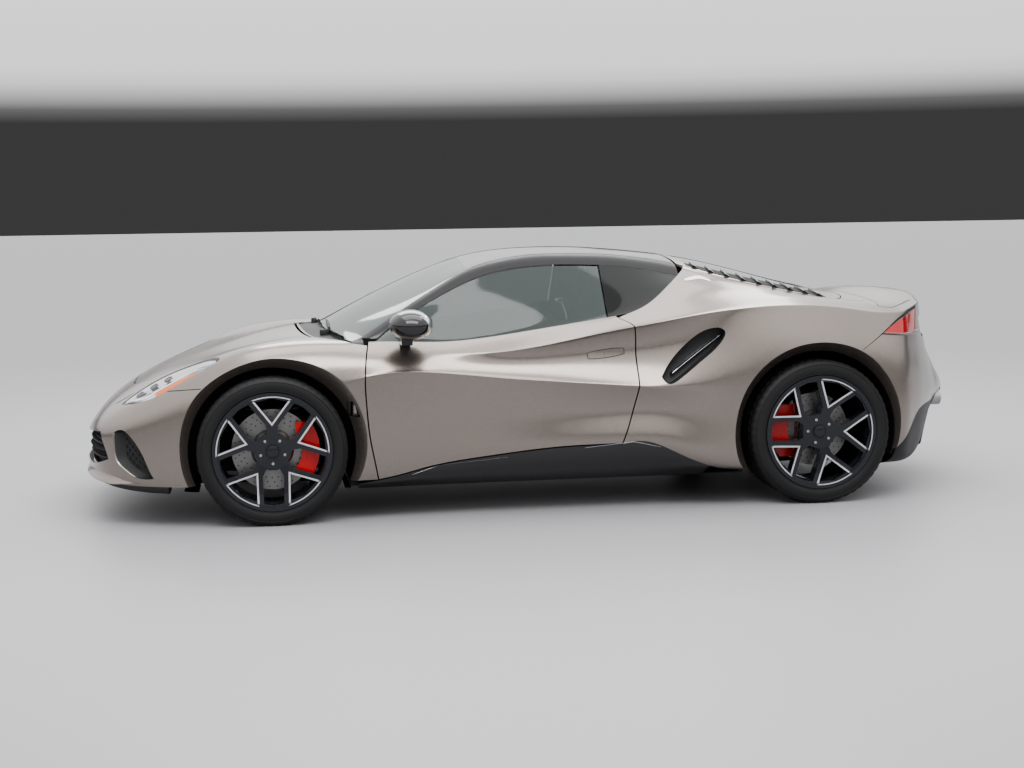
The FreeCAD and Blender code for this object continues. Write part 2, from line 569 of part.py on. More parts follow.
def behind_lip(hub, radius, ys):
    """What a piece behind the lip is cut by so that it ends a seal gap short of it."""
    return lip_cone(hub, radius, (ys[0] - seal_gap, ys[1] - seal_gap), lip_wall + seal_gap)


def with_arch(skin, hub, opening, radius, ys, kept_free=None):
    """The skin with a wheel opening and its chamfered lip."""
    inner = lip_cone(hub, radius, ys)
    lip = lip_cone(hub, radius, ys, lip_wall).cut(inner).common(body()).cut(opening)
    if kept_free:
        lip = lip.cut(kept_free)
    return skin.cut(opening).cut(inner).fuse(lip)


def left(shape):
    return shape.common(box(-FAR, FAR, 0, FAR, -FAR, FAR))


lip_rise, lip_wall = 42.0, 7.0
FRONT_LIP = (across(838), across(876))
REAR_LIP = (across(872), across(930))
cowl_depth = 9.0


def arch(x, z, radius, y0=560.0, y1=1100.0):
    return Part.makeCylinder(radius, y1 - y0, Vector(x, y0, z), Vector(0, 1, 0))


front_hub = Vector(front_axle_x, front_wheel_y, front_tyre_radius)
rear_hub = Vector(rear_axle_x, rear_wheel_y, rear_tyre_radius)
front_arch = arch(front_hub.x, front_hub.z, front_tyre_radius + arch_clearance_front)
rear_arch = arch(rear_hub.x, rear_hub.z, rear_tyre_radius + arch_clearance_rear)


def make_glazing():
    panes = layer(1.5, 1.5 + glass)
    screen_area = plan_area([SCREEN_BASE, SCREEN_SIDE, SCREEN_TOP], up(700))
    keep("windscreen", panes.common(screen_area))
    side = left(panes).common(side_half(BELT, "above", (0, seal_gap)))
    split = along(glass_split_x)
    door_pane = side.common(box(split + shut_gap / 2, along(905), 0, FAR, 0, FAR))
    door_pane = door_pane.common(side_half(GLASS_TOP, "below", (0, -shut_gap)))
    quarter = side.common(box(along(-700), split - shut_gap / 2, 0, FAR, 0, FAR))
    quarter = quarter.common(side_half(GLASS_TOP, "below", (0, -seal_gap)))
    quarter = quarter.common(side_half(QUARTER_LOW, "above", (0, seal_gap)))
    keep("door_glass_left", biggest(door_pane))
    keep("door_glass_right", mirrored(biggest(door_pane)))
    keep("quarter_glasses", both(biggest(quarter)))


def cowl_area():
    """What lies under the rear of the bonnet, the windscreen's foot and the cabin."""
    return plan_area([COWL_FRONT, [(955, 790), (885, 800)], [(885, 800), (-200, 700)], [(-200, 700), (-200, 0)]],
                     up(700))


def cowl_strip_area():
    """The strip between the bonnet's rear edge and the windscreen."""
    return plan_area([COWL_FRONT, [(955, 790), (952, 690)], SCREEN_BASE[::-1]], up(700))


def make_roof():
    roof_area = plan_area([SCREEN_TOP[::-1], ROOF_SIDE, ROOF_REAR], up(900))
    keep("roof_panel", layer(0, roof_wall).common(roof_area))
    frame = left(layer(1.0, pillar_wall)).common(side_half(GLASS_TOP, "above"))
    frame = frame.common(box(along(-634), along(958), 0, FAR, up(800), FAR))
    openings = plan_area([SCREEN_BASE, SCREEN_SIDE, ROOF_SIDE, ROOF_REAR], up(600))
    frame = frame.cut(openings).cut(box(along(800), along(905), 0, FAR, 0, up(830)))
    frame = frame.cut(box(along(885), FAR, 0, FAR, 0, FAR).cut(cowl_area()))
    frame = frame.cut(side_half(QUARTER_LOW, "below").common(box(-FAR, along(-560), 0, FAR, 0, FAR)))
    keep("roof_frame", both(biggest(frame)))


def make_doors():
    slab = left(body()).common(box(-FAR, FAR, across(door_inner_y), FAR, 0, FAR))
    slab = slab.common(side_half(BELT, "below"))
    flange = slab.cut(body(flange_depth))
    core = slab.common(body(flange_depth))
    shapes = []
    for shape, back in ((flange, 0.0), (core, flange_setback)):
        shape = shape.common(side_half(DOOR_FRONT, "back", (-shut_gap - (front_setback if back else 0), 0)))
        shape = shape.common(side_half(DOOR_REAR, "front", (shut_gap + back, 0)))
        shapes.append(biggest(shape.common(side_half(DOOR_BOTTOM, "above", (0, shut_gap + back)))))
    eyes = []
    for z in DOOR_HINGE_Z:
        arm = Part.makeCylinder(hinge_eye, hinge_height, Vector(door_pivot_x, door_pivot_y, z - hinge_height / 2))
        arm = arm.fuse(box(door_pivot_x - 8, door_pivot_x + 8, door_pivot_y - 68, door_pivot_y,
                           z - hinge_height / 2, z + hinge_height / 2))
        arm = arm.fuse(box(along(875), door_pivot_x + 8, door_pivot_y - 68, door_pivot_y - 52,
                           z - hinge_height / 2, z + hinge_height / 2))
        eyes.append(arm)
    bores = [Part.makeCylinder(hinge_pin + running_gap, 90, Vector(door_pivot_x, door_pivot_y, z - 45))
             for z in DOOR_HINGE_Z]
    solid = biggest(shapes[0].fuse([shapes[1]] + eyes).cut(Part.makeCompound(bores)))
    keep("door_left", solid)
    keep("door_right", mirrored(solid))
    arm = box(along(690), along(740), across(740), across(900), up(806), up(850))
    head = Part.makeSphere(1.0)
    m = FreeCAD.Matrix()
    m.scale(Vector(98, 122, 68))
    head = head.transformGeometry(m)
    head.translate(Vector(along(700), across(930), up(900)))
    shape = head.fuse(arm)
    shape = shape.cut(body(-seal_gap))
    keep("door_mirror_left", biggest(shape))
    keep("door_mirror_right", mirrored(biggest(shape)))


def make_front_body():
    door_strap = box(-FAR, along(990), across(830), across(880), up(485), up(555))
    skin = with_arch(left(layer(0, panel)), front_hub, front_arch, front_tyre_radius + arch_clearance_front,
                     FRONT_LIP, door_strap)
    bonnet_hole = plan_area([BONNET_FRONT, BONNET_SIDE, BONNET_REAR], up(500))
    clam = skin.common(side_half(DOOR_FRONT, "front"))
    clam = clam.common(box(along(700), FAR, 0, FAR, up(190), FAR))
    clam = clam.cut(cowl_area()).cut(bonnet_hole).cut(prism(LAMP, "plan", up(400), FAR))
    for opening in (CORNER_INTAKE, NOSE_INTAKE):
        clam = clam.cut(prism(opening, "end", along(1700), FAR))
    keep("front_clamshell", biggest(clam).Solids[0].fuse(mirrored(biggest(clam)).Solids[0]))
    lid = layer(0, bonnet_wall).common(bonnet_cutter(shut_gap))
    keep("bonnet", with_goosenecks(biggest(lid), bonnet_pivot_x, bonnet_pivot_z, 1, 150, 140, bonnet_wall))
    splitter = left(body()).common(box(along(1800), FAR, 0, FAR, up(128), up(190) - seal_gap))
    splitter = splitter.cut(arch(front_hub.x, front_hub.z, front_tyre_radius + well_clearance + 8, 0))
    keep("front_splitter", biggest(splitter.fuse(mirrored(splitter))))
    cowl_strip = layer(cowl_depth, cowl_depth + panel).common(cowl_strip_area())
    foot = side_half(GLASS_TOP, "above", y0=-FAR).common(box(-FAR, along(958) + seal_gap, -FAR, FAR, 0, FAR))
    keep("cowl_panel", biggest(cowl_strip.cut(foot)))


def bonnet_cutter(gap):
    front = [(x - gap, y) for x, y in BONNET_FRONT]
    side = [(x, y - gap) for x, y in BONNET_SIDE]
    rear = [(x + gap + bonnet_swing, y) for x, y in BONNET_REAR]
    front[-1] = side[0] = (side[0][0] - gap, side[0][1])
    side[-1] = rear[0] = (rear[0][0], side[-1][1])
    return plan_area([front, side, rear], up(500))


def tailgate_cutter(gap):
    front = [(x - gap, y) for x, y in TAILGATE_FRONT]
    side = [(x, y - gap) for x, y in TAILGATE_SIDE]
    rear = [(x + gap, y) for x, y in TAILGATE_REAR]
    side[0] = front[-1] = (front[-1][0], side[0][1])
    side[-1] = rear[0] = (rear[0][0], side[-1][1])
    return plan_area([front, side, rear], up(700))


def with_goosenecks(lid, x, z, ahead, reach, drop, wall):
    """Adds a pair of curved hinge arms that pass under the fixed edge to the pins behind it."""
    arms = []
    for y in (lid_hinge_y - 8, -lid_hinge_y - 8):
        outline = [(-9, 8), (-9, -drop), (reach + 18, -drop), (reach + 18, 120), (reach, 120), (reach, -drop + 18),
                   (9, -drop + 18), (9, 8)]
        points = [Vector(x + ahead * px, y, z + pz) for px, pz in outline]
        arm = Part.Face(Part.makePolygon(points + points[:1])).extrude(Vector(0, 16, 0))
        arm = arm.fuse(Part.makeCylinder(15, 16, Vector(x, y, z), Vector(0, 1, 0)))
        arm = arm.common(body(wall / 2))
        arms.append(arm.cut(Part.makeCylinder(hinge_pin + running_gap, 16, Vector(x, y, z), Vector(0, 1, 0))))
    return biggest(lid.fuse(arms))


def make_hinge_brackets():
    """The fixed halves of the lid and door hinges: ears with a pin between them."""
    parts = []
    for x, z, x_back, z_top in ((bonnet_pivot_x, bonnet_pivot_z, front_wall_x + bulkhead_wall + seal_gap, None),
                                (tailgate_pivot_x, tailgate_pivot_z, None, 60)):
        for y in (lid_hinge_y, -lid_hinge_y):
            shape = Part.makeCylinder(hinge_pin, 36, Vector(x, y - 18, z), Vector(0, 1, 0))
            for side in (-18, 10):
                if x_back is not None:
                    ear = box(x_back, x + 14, y + side, y + side + 8, z - 30, z + 14)
                else:
                    ear = box(x - 16, x + 16, y + side, y + side + 8, z - 14, z + z_top)
                    ear = ear.common(body(roof_wall + seal_gap))
                shape = shape.fuse(ear)
            if x_back is not None:
                shape = shape.fuse(box(x_back, x_back + 6, y - 18, y + 18, z - 30, z + 14))
            parts += shape.Solids
    keep("lid_hinges", Part.makeCompound(parts))
    post = []
    for z in DOOR_HINGE_Z:
        shape = Part.makeCylinder(hinge_pin, hinge_height + 18, Vector(door_pivot_x, door_pivot_y, z - hinge_height / 2 - 9))
        for side in (-hinge_height / 2 - 9, hinge_height / 2 + 1):
            shape = shape.fuse(box(door_pivot_x - 12, door_pivot_x + 12, across(728) + seal_gap, door_pivot_y + 10,
                                   z + side, z + side + 8))
        shape = shape.fuse(box(door_pivot_x - 12, door_pivot_x + 12, across(728) + seal_gap, across(728) + 10,
                               z - hinge_height / 2 - 9, z + hinge_height / 2 + 9))
        post += shape.Solids
    keep("door_hinges", both(Part.makeCompound(post)))


def make_bulkheads():
    """Cross walls that carry the front and rear bodywork on the tub."""
    skin = body(panel + seal_gap)
    front = skin.common(box(front_wall_x, front_wall_x + bulkhead_wall, -FAR, FAR, up(200), up(800)))
    well = arch(front_hub.x, front_hub.z, front_tyre_radius + well_clearance + 4 + seal_gap, across(495))
    lip = behind_lip(front_hub, front_tyre_radius + arch_clearance_front, FRONT_LIP)
    front = front.cut(well).cut(mirrored(well)).cut(lip).cut(mirrored(lip))
    front = front.cut(layer(0, cowl_depth + panel + seal_gap).common(cowl_strip_area()))
    rear_box = box(rear_wall_x - 40, rear_wall_x, -FAR, FAR, up(335), up(900))
    rear_top = box(rear_wall_x - 40, rear_wall_x, -FAR, FAR, up(899), FAR).common(body(pillar_wall + seal_gap))
    rear = skin.common(rear_box).fuse(rear_top)
    window = box(-FAR, FAR, across(-420), across(420), up(850), up(1085))
    rear = rear.cut(window)
    keep("bulkheads", Part.makeCompound(biggest(front).Solids + biggest(rear).Solids))


def make_rear_body():
    skin = with_arch(left(layer(0, panel)), rear_hub, rear_arch, rear_tyre_radius + arch_clearance_rear, REAR_LIP)
    hole = plan_area([TAILGATE_FRONT, TAILGATE_SIDE, TAILGATE_REAR], up(700))
    rear = skin.common(side_half(DOOR_REAR, "back"))
    rear = rear.common(box(-FAR, along(-200), 0, FAR, up(170), FAR))
    rear = rear.common(side_half(BODY_BOTTOM_REAR, "above"))
    rear = rear.common(side_half(QUARTER_LOW, "below"))
    rear = rear.cut(hole).cut(prism(SIDE_INTAKE, "side", 600, FAR)).cut(prism(TAIL_LAMP, "side", 480, FAR))
    bumper_area = side_half(BUMPER_LINE, "below").common(box(-FAR, along(-1300), 0, FAR, up(230), FAR))
    bumper_area = bumper_area.fuse(box(-FAR, along(-1830), 0, FAR, up(230), up(905)))
    bumper = rear.common(bumper_area).cut(side_half(DIFFUSER_LINE, "below"))
    bumper = bumper.cut(prism(REAR_GRILLE, "end", -FAR, along(-1700)))
    pipes = [Part.makeCylinder(pipe_radius + seal_gap, 400, Vector(along(-2206), pipe_y, pipe_z), Vector(1, 0, 0))]
    bumper = bumper.cut(pipes[0])
    rear = rear.cut(bumper_area)
    keep("rear_clamshell", biggest(rear).Solids[0].fuse(mirrored(biggest(rear)).Solids[0]))
    keep("rear_bumper", biggest(bumper).Solids[0].fuse(mirrored(biggest(bumper)).Solids[0]))
    lid = layer(0, lid_wall).common(tailgate_cutter(shut_gap))
    window = plan_area([
        [(-690, 0), (-692, 300), (-700, 440)],
        [(-700, 440), (-900, 470), (-1200, 470), (-1330, 450)],
        [(-1330, 450), (-1370, 300), (-1380, 0)],
    ], up(700))
    lid = biggest(lid.cut(window))
    keep("tailgate", with_goosenecks(lid, tailgate_pivot_x, tailgate_pivot_z, -1, 112, 92, lid_wall))
    keep("tailgate_glass", biggest(layer(1.5, 1.5 + glass).common(window)))


def make_openings():
    """Lamps, intakes, grille, diffuser and tailpipes."""
    for name, outline, view, a0, a1 in (("headlamps", LAMP, "plan", up(400), FAR),
                                        ("tail_lamps", TAIL_LAMP, "side", 480, FAR)):
        lens = left(body(1.5)).common(prism(outline, view, a0, a1)).cut(body(roof_wall))
        keep(name, both(biggest(lens)))
    slats = [box(along(1700), FAR, 0, FAR, up(z), up(z + 6)) for z in (300, 332, 364)]
    corner = duct(CORNER_INTAKE, "end", along(1700), FAR, intake_depth)
    nose = duct(NOSE_INTAKE, "end", along(1700), FAR, intake_depth, slats)
    nose = nose.fuse(mirrored(nose))
    keep("front_intakes", Part.makeCompound(biggest(nose).Solids + both(corner).Solids))
    vane = prism(SIDE_VANE, "side", 600, FAR)
    keep("side_intakes", both(duct(SIDE_INTAKE, "side", 700, FAR, side_intake_depth, [vane])))
    bars = [box(-FAR, along(-1700), 0, FAR, up(z), up(z + 6)) for z in (770, 800, 830)]
    grille = duct(REAR_GRILLE, "end", -FAR, along(-1700), grille_depth, bars)
    keep("rear_grille", biggest(grille.fuse(mirrored(grille))))
    area = side_half(DIFFUSER_LINE, "below", (0, -seal_gap), -FAR).common(box(-FAR, along(-1600), -FAR, FAR, 0, FAR))
    shell = layer(0, panel).common(area)
    well = arch(rear_hub.x, rear_hub.z, rear_tyre_radius + well_clearance + 5, 480)
    shell = biggest(shell.cut(well).cut(mirrored(well)))
    for y in FIN_Y:
        for sign in (1, -1):
            fin = box(along(-2090), along(-1760), sign * y - fin_wall / 2, sign * y + fin_wall / 2, up(150), up(400))
            shell = shell.fuse(fin.cut(body(panel / 2)))
    holes = [Part.makeCylinder(pipe_radius + seal_gap, 400, Vector(along(-2206), sign * pipe_y, pipe_z), Vector(1, 0, 0))
             for sign in (1, -1)]
    keep("rear_diffuser", biggest(shell.cut(holes[0]).cut(holes[1])))
    pipe = Part.makeCylinder(pipe_radius, 190, Vector(along(-2178), pipe_y, pipe_z), Vector(1, 0, 0))
    pipe = pipe.cut(Part.makeCylinder(pipe_radius - pipe_wall, 186, Vector(along(-2178), pipe_y, pipe_z), Vector(1, 0, 0)))
    keep("exhaust_tips", both(pipe))


def make_tub():
    sill_y0, sill_y1 = across(600), across(728)
    cabin_front, cabin_rear = along(905), along(-345)
    outer = body(14)
    keep_in = box(along(-420), along(975), -sill_y1, sill_y1, up(128), up(800) - seal_gap)
    tub = outer.common(keep_in)
    cavity = box(cabin_rear, cabin_front, -sill_y0, sill_y0, up(165), FAR)
    doorway = box(cabin_rear, cabin_front, -FAR, FAR, up(430), FAR)
    well = arch(front_hub.x, front_hub.z, front_tyre_radius + well_clearance + 4 + seal_gap, across(495))
    tub = biggest(tub.cut(cavity).cut(doorway).cut(well).cut(mirrored(well))).Solids[0]
    for x in (along(jack_front_x), along(jack_rear_x)):
        for y in (across(jack_y), -across(jack_y)):
            tub = tub.fuse(Part.makeCylinder(35, 22, Vector(x, y, up(128))))
    keep("cabin_tub", tub)
    sill = left(layer(0, 60)).common(box(along(-700), along(945), across(735), FAR, 0, FAR))
    sill = sill.common(side_half(DOOR_BOTTOM, "below").common(box(along(-288), FAR, 0, FAR, 0, FAR)).fuse(
        side_half(BODY_BOTTOM_REAR, "below").common(box(-FAR, along(-288), 0, FAR, 0, FAR))))
    sill = sill.cut(front_arch).cut(rear_arch)
    keep("side_sills", both(biggest(sill)))
    dash = left(body(30)).common(box(along(700), cabin_front - 0.3, 0, across(720), up(560), up(790)))
    keep("dashboard", biggest(dash.fuse(mirrored(dash))))


def make_seats():
    seats = []
    half = seat_width / 2
    for sign in (1, -1):
        cushion = box(along(-20), along(480), -half, half, up(165) + seal_gap, up(cushion_top))
        cushion = cushion.cut(box(along(60), FAR, 60 - half, half - 60, up(290), FAR))
        outline = [(-half, 0), (half, 0), (half, 300), (half - 15, 400), (half - 75, 470), (115, 500), (100, 620),
                   (80, 640), (-80, 640), (-100, 620), (-115, 500), (75 - half, 470), (15 - half, 400), (-half, 300)]
        wire = Part.makePolygon([Vector(0, y, z) for y, z in outline + outline[:1]])
        back = Part.Face(wire).extrude(Vector(seat_back_depth, 0, 0))
        back = back.cut(box(seat_back_depth - 45, seat_back_depth, 60 - half, half - 60, 120, 455))
        back.rotate(Vector(0, 0, 0), Vector(0, 1, 0), -seat_rake)
        back.translate(Vector(along(-30), 0, up(225)))
        seat = cushion.fuse(back)
        seat.translate(Vector(0, sign * driver_y, 0))
        seats += seat.Solids
    keep("seats", Part.makeCompound(seats))
    ring = Part.makeTorus(wheel_rim_radius, 15)
    hub = Part.makeCylinder(48, 34, Vector(0, 0, -14))
    spokes = box(-170, 170, -16, 16, -9, 9).fuse(box(-16, 16, -170, 0, -9, 9))
    shaft = Part.makeCylinder(column_radius, column_length, Vector(0, 0, 12))
    wheel = place_on_column(ring.fuse([hub, spokes, shaft]))
    keep("steering_wheel", biggest(wheel))
    bore = place_on_column(Part.makeCylinder(column_radius + running_gap, column_length + 10, Vector(0, 0, 12)))
    shroud = place_on_column(Part.makeCylinder(34, 120, Vector(0, 0, 60)))
    dash = NODES["dashboard"].fuse(shroud).cut(bore)
    keep("dashboard", biggest(dash))


def place_on_column(shape):
    shape.rotate(Vector(0, 0, 0), Vector(0, 1, 0), 90 + column_rake)
    shape.translate(Vector(along(545), across(driver_y), up(715)))
    return shape


def make_mechanical():
    keep("engine_block", box(along(-1080), along(-470), -rail_y + seal_gap, rail_y - seal_gap, up(190), up(720)))
    bin_outer = box(along(1240), along(1740), -rail_y + seal_gap, rail_y - seal_gap, up(330), up(640))
    bin_inner = box(along(1240) + 4, along(1740) - 4, -rail_y + 4, rail_y - 4, up(330) + 4, up(700))
    keep("luggage_bin", bin_outer.cut(bin_inner))
    trays = []
    for x0, x1 in ((front_wall_x, along(1800) - seal_gap), (along(-1950), rear_wall_x)):
        tray = body(panel + seal_gap).common(box(x0, x1, -FAR, FAR, 0, FAR))
        tray = tray.common(side_half(TRAY_TOP, "below", y0=-FAR)).cut(body(panel + seal_gap + tray_wall))
        beside_sill = box(along(-700) - seal_gap, along(945) + seal_gap, across(735) - seal_gap, FAR, 0, FAR)
        tray = tray.cut(beside_sill).cut(mirrored(beside_sill))
        for hub, tyre_r in ((front_hub, front_tyre_radius), (rear_hub, rear_tyre_radius)):
            well = arch(hub.x, hub.z, tyre_r + well_clearance + 5, 480)
            tray = tray.cut(well).cut(mirrored(well))
        trays += biggest(tray).Solids
    keep("undertrays", Part.makeCompound(trays))
    liners = []
    for hub, tyre_r, clearance, lip, well_y, foot_z in (
            (front_hub, front_tyre_radius, arch_clearance_front, FRONT_LIP, 500, 200),
            (rear_hub, rear_tyre_radius, arch_clearance_rear, REAR_LIP, 520, 216)):
        r = tyre_r + well_clearance
        outer = arch(hub.x, hub.z, r + 4, across(well_y) - 4)
        inner = arch(hub.x, hub.z, r, across(well_y))
        liner = outer.cut(inner).common(body(panel + seal_gap))
        liner = liner.cut(behind_lip(hub, tyre_r + clearance, lip))
        liner = liner.common(box(-FAR, FAR, 0, FAR, up(foot_z), FAR))
        for z in (UPPER_ARM_Z, LOWER_ARM_Z):
            liner = liner.cut(box(hub.x - arm_slot, hub.x + arm_slot, across(well_y) - 10, across(well_y) + 10,
                                  hub.z + z - 20, hub.z + z + 20))
        liners += biggest(liner).Solids
    keep("arch_liners", Part.makeCompound(liners + [mirrored(s) for s in liners]))


def wheel_shapes(hub, tyre_r, width, disc_r, phase):
    half = width / 2

    def ring(points):
        wire = Part.makePolygon([Vector(x, y, 0) for x, y in points + points[:1]])
        return Part.Face(wire).revolve(Vector(0, 0, 0), Vector(0, 1, 0), 360)

    seat = rim_seat_radius
    g = seal_gap
    side = [(seat + 8, half - 30), (seat + g, half - 10 - g), (rim_flange_radius + g, half - 9 - g),
            (rim_flange_radius + g, half - 3), (seat + 45, half), (tyre_r - 14, half - 6), (tyre_r, half - 24)]
    tyre = ring(side + [(r, -y) for r, y in reversed(side)])
    lip = half - 2
    barrel = ring([(seat, 10 - half), (rim_flange_radius, 9 - half), (rim_flange_radius, 2 - half), (seat - 7, 2 - half),
                   (seat - 7, 45 - half), (seat - 18, 60 - half), (seat - 18, half - 60), (seat - 7, half - 40),
                   (seat - 7, lip), (rim_flange_radius, lip), (rim_flange_radius, lip - 7), (seat, lip - 8),
                   (seat, half - 38), (seat - 11, half - 58), (seat - 11, 58 - half), (seat, 43 - half)])
    face = ring([(0, 40), (70, 40), (100, 56), (225, 66), (seat - 3, 72), (seat - 3, half - 14), (200, half - 22),
                 (80, half - 34), (0, half - 38)])
    windows = []
    for i in range(5):
        a = math.radians(phase + 72 * i)
        b = a + math.radians(36)

        def p(angle, degrees, r):
            t = angle + math.radians(degrees)
            return Vector(r * math.cos(t), 0, r * math.sin(t))

        inner = Part.makePolygon([p(a, -3.5, 136), p(a, -18.8, 238), p(a, 0, 244), p(a, 18.8, 238), p(a, 3.5, 136),
                                  p(a, -3.5, 136)])
        outer = Part.makePolygon([p(b, -20, 86), p(b, -23, 124), p(b, -10.8, 240), p(b, 0, 244), p(b, 10.8, 240),
                                  p(b, 23, 124), p(b, 20, 86), p(b, -20, 86)])
        for wire in (inner, outer):
            windows.append(Part.Face(wire).extrude(Vector(0, 300, 0)))
    face = face.cut(Part.makeCompound(windows))
    rim = barrel.fuse(face)
    disc = ring([(96, -16), (disc_r, -16), (disc_r, 16), (84, 16), (84, 40), (0, 40), (0, -58), (34.95, -58), (34.95, 34),
                 (78, 34), (78, -16)])
    for s in (tyre, rim, disc):
        s.translate(hub)
    return tyre, rim, disc


def knuckle_shape(hub, caliper_side):
    """The upright, its hub housing, two ball joint bosses on the kingpin axis and a caliper bracket."""
    y = -kingpin_inset
    housing = Part.makeCylinder(58, 34, Vector(0, y - 17, 0), Vector(0, 1, 0))
    post = box(-26, 26, y - 14, y + 14, -128, 122)
    bosses = [Part.makeCylinder(22, 28, Vector(0, y, z)) for z in (96, -130)]
    bracket = box(min(0, caliper_side * 178), max(0, caliper_side * 178), y - 14, y - 4.2, -62, 62)
    shape = housing.fuse([post, bracket] + bosses)
    shape = shape.cut(Part.makeCylinder(35.0, 200, Vector(0, y - 100, 0), Vector(0, 1, 0)))
    for z in (94, -132):
        shape = shape.cut(Part.makeCylinder(9.05, 32, Vector(0, y, z)))
    shape.translate(hub)
    return shape


def caliper_shape(hub, side, reach):
    y0, y1 = -46.0, 46.0
    a = Part.makeCylinder(reach, y1 - y0, Vector(0, y0, 0), Vector(0, 1, 0))
    a = a.cut(Part.makeCylinder(reach - 80, 200, Vector(0, -100, 0), Vector(0, 1, 0)))
    a = a.common(box(side * 165 - 58, side * 165 + 58, y0, y1, -125, 125))
    slot = Part.makeCylinder(reach - 24, 40, Vector(0, -20, 0), Vector(0, 1, 0))
    a = a.cut(slot)
    a.translate(hub)
    return a


def arms_for(hub, inner_y, spread):
    """Upper and lower wishbones with the ball joint pins that the upright turns on."""
    y = hub.y - kingpin_inset
    shapes = []
    for z, pin in ((UPPER_ARM_Z, -1), (LOWER_ARM_Z, 1)):
        joint = Vector(hub.x, y, hub.z + z)
        arm = Part.makeCylinder(20, 14, joint.add(Vector(0, 0, -7)))
        for s in (1, -1):
            arm = arm.fuse(rod(joint, Vector(hub.x + s * spread, inner_y, hub.z + z), 11))
        arm = arm.cut(box(-FAR, FAR, 0, inner_y, 0, FAR))
        shaft = Part.makeCylinder(9.0, 37, joint.add(Vector(0, 0, -40 if pin < 0 else 3)))
        shapes.append(arm.fuse(shaft).Solids[0])
    return shapes


def make_running_gear():
    arms = []
    for axle, hub, r, w, disc_r in (("front", front_hub, front_tyre_radius, front_tyre_width, 185),
                                    ("rear", rear_hub, rear_tyre_radius, rear_tyre_width, 175)):
        for side in ("left", "right"):
            phase = 90.0 if axle == "front" else 110.0
            tyre, rim, disc = wheel_shapes(hub, r, w, disc_r, phase)
            for name, shape in (("tyre", tyre), ("rim", rim), ("brake_disc", disc)):
                shape = shape if side == "left" else mirrored(shape)
                keep(name + "_" + axle + "_" + side, shape)
    front_knuckle = knuckle_shape(front_hub, -1)
    front_caliper = caliper_shape(front_hub, -1, 214)
    rear_knuckle = knuckle_shape(rear_hub, 1)
    rear_caliper = caliper_shape(rear_hub, 1, 214)
    for side in ("left", "right"):
        flip = (lambda s: s) if side == "left" else mirrored
        keep("knuckle_front_" + side, flip(front_knuckle))
        keep("caliper_front_" + side, flip(front_caliper))
    keep("rear_uprights", both(rear_knuckle))
    keep("rear_calipers", both(rear_caliper))
    for hub in (front_hub, rear_hub):
        arms += arms_for(hub, rail_y + 60, 150)
    keep("suspension_arms", Part.makeCompound(arms + [mirrored(s) for s in arms]))
    rails = []
    for hub, x0, x1 in ((front_hub, front_wall_x + bulkhead_wall + seal_gap, front_axle_x + 240),
                        (rear_hub, rear_axle_x - 240, rear_wall_x - 40 - seal_gap)):
        frame = None
        for z in (UPPER_ARM_Z, LOWER_ARM_Z):
            rail = box(x0, x1, rail_y, rail_y + 60 - seal_gap, hub.z + z - 28, hub.z + z + 28)
            frame = rail if frame is None else frame.fuse(rail)
        for s in (-1, 1):
            x = hub.x + s * 150
            frame = frame.fuse(box(x - 25, x + 25, rail_y + 5, rail_y + 55, hub.z + LOWER_ARM_Z, hub.z + UPPER_ARM_Z))
        rails += frame.Solids
    keep("subframes", Part.makeCompound(rails + [mirrored(s) for s in rails]))


if __name__ == "__main__":
    os.makedirs("parts", exist_ok=True)
    for step in (make_glazing, make_roof, make_doors, make_front_body, make_rear_body, make_openings,
                 make_hinge_brackets, make_bulkheads, make_tub, make_seats, make_mechanical, make_running_gear):
        step()
    for name, shape in NODES.items():
        shape.exportStep("parts/" + name + ".step")
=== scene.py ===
import bpy
import math
import json
import numpy as np
from mathutils import Matrix, Vector
from mathutils.bvhtree import BVHTree


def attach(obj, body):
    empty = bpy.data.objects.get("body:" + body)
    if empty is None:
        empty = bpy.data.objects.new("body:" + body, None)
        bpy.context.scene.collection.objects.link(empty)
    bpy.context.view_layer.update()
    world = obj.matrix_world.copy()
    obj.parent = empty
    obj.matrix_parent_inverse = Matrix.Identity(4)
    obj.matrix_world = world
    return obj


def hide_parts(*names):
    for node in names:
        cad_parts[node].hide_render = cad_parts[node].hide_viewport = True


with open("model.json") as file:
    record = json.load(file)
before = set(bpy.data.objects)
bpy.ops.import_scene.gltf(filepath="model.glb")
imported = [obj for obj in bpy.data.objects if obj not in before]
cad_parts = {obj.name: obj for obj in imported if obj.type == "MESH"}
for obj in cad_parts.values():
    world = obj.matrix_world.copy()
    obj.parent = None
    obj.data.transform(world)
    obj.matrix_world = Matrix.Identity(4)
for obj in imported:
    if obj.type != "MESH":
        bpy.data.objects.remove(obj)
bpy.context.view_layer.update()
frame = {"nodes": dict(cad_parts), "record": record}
nodes = frame["nodes"]
scene = bpy.context.scene
print("frame loaded:", len(nodes), "nodes")

# camera, floor and light: angles in degrees, places and sizes in metres, the lens in millimetres
cameraFit = {"yaw": -9.016, "pitch": 6.135, "roll": -0.822, "place": (1.393, 8.187, 1.409), "lens": 56.82,
             "sensor": 36.0}
stageLook = {"floor": (0.34, 0.34, 0.35), "roughness": 0.42, "size": 240.0,
             "sky": ((0.0, 0.20), (0.47, 0.20), (0.49, 0.06), (0.530, 0.06), (0.541, 0.9), (0.72, 1.5),
                     (1.0, 1.5))}  # share of the way from straight down to straight up, and brightness
stageLamps = {
    "keyLamp": {"place": (0.5, 3.5, 4.6), "aim": (0, 0.3, 0.4), "size": (5.5, 2.2), "power": 190},
    "farLamp": {"place": (-0.5, -4.0, 4.4), "aim": (0, -0.3, 0.4), "size": (5.5, 2.2), "power": 150},
    "roofLamp": {"place": (0, 0, 5.2), "aim": (0, 0, 0), "size": (6.0, 3.0), "power": 120},
}


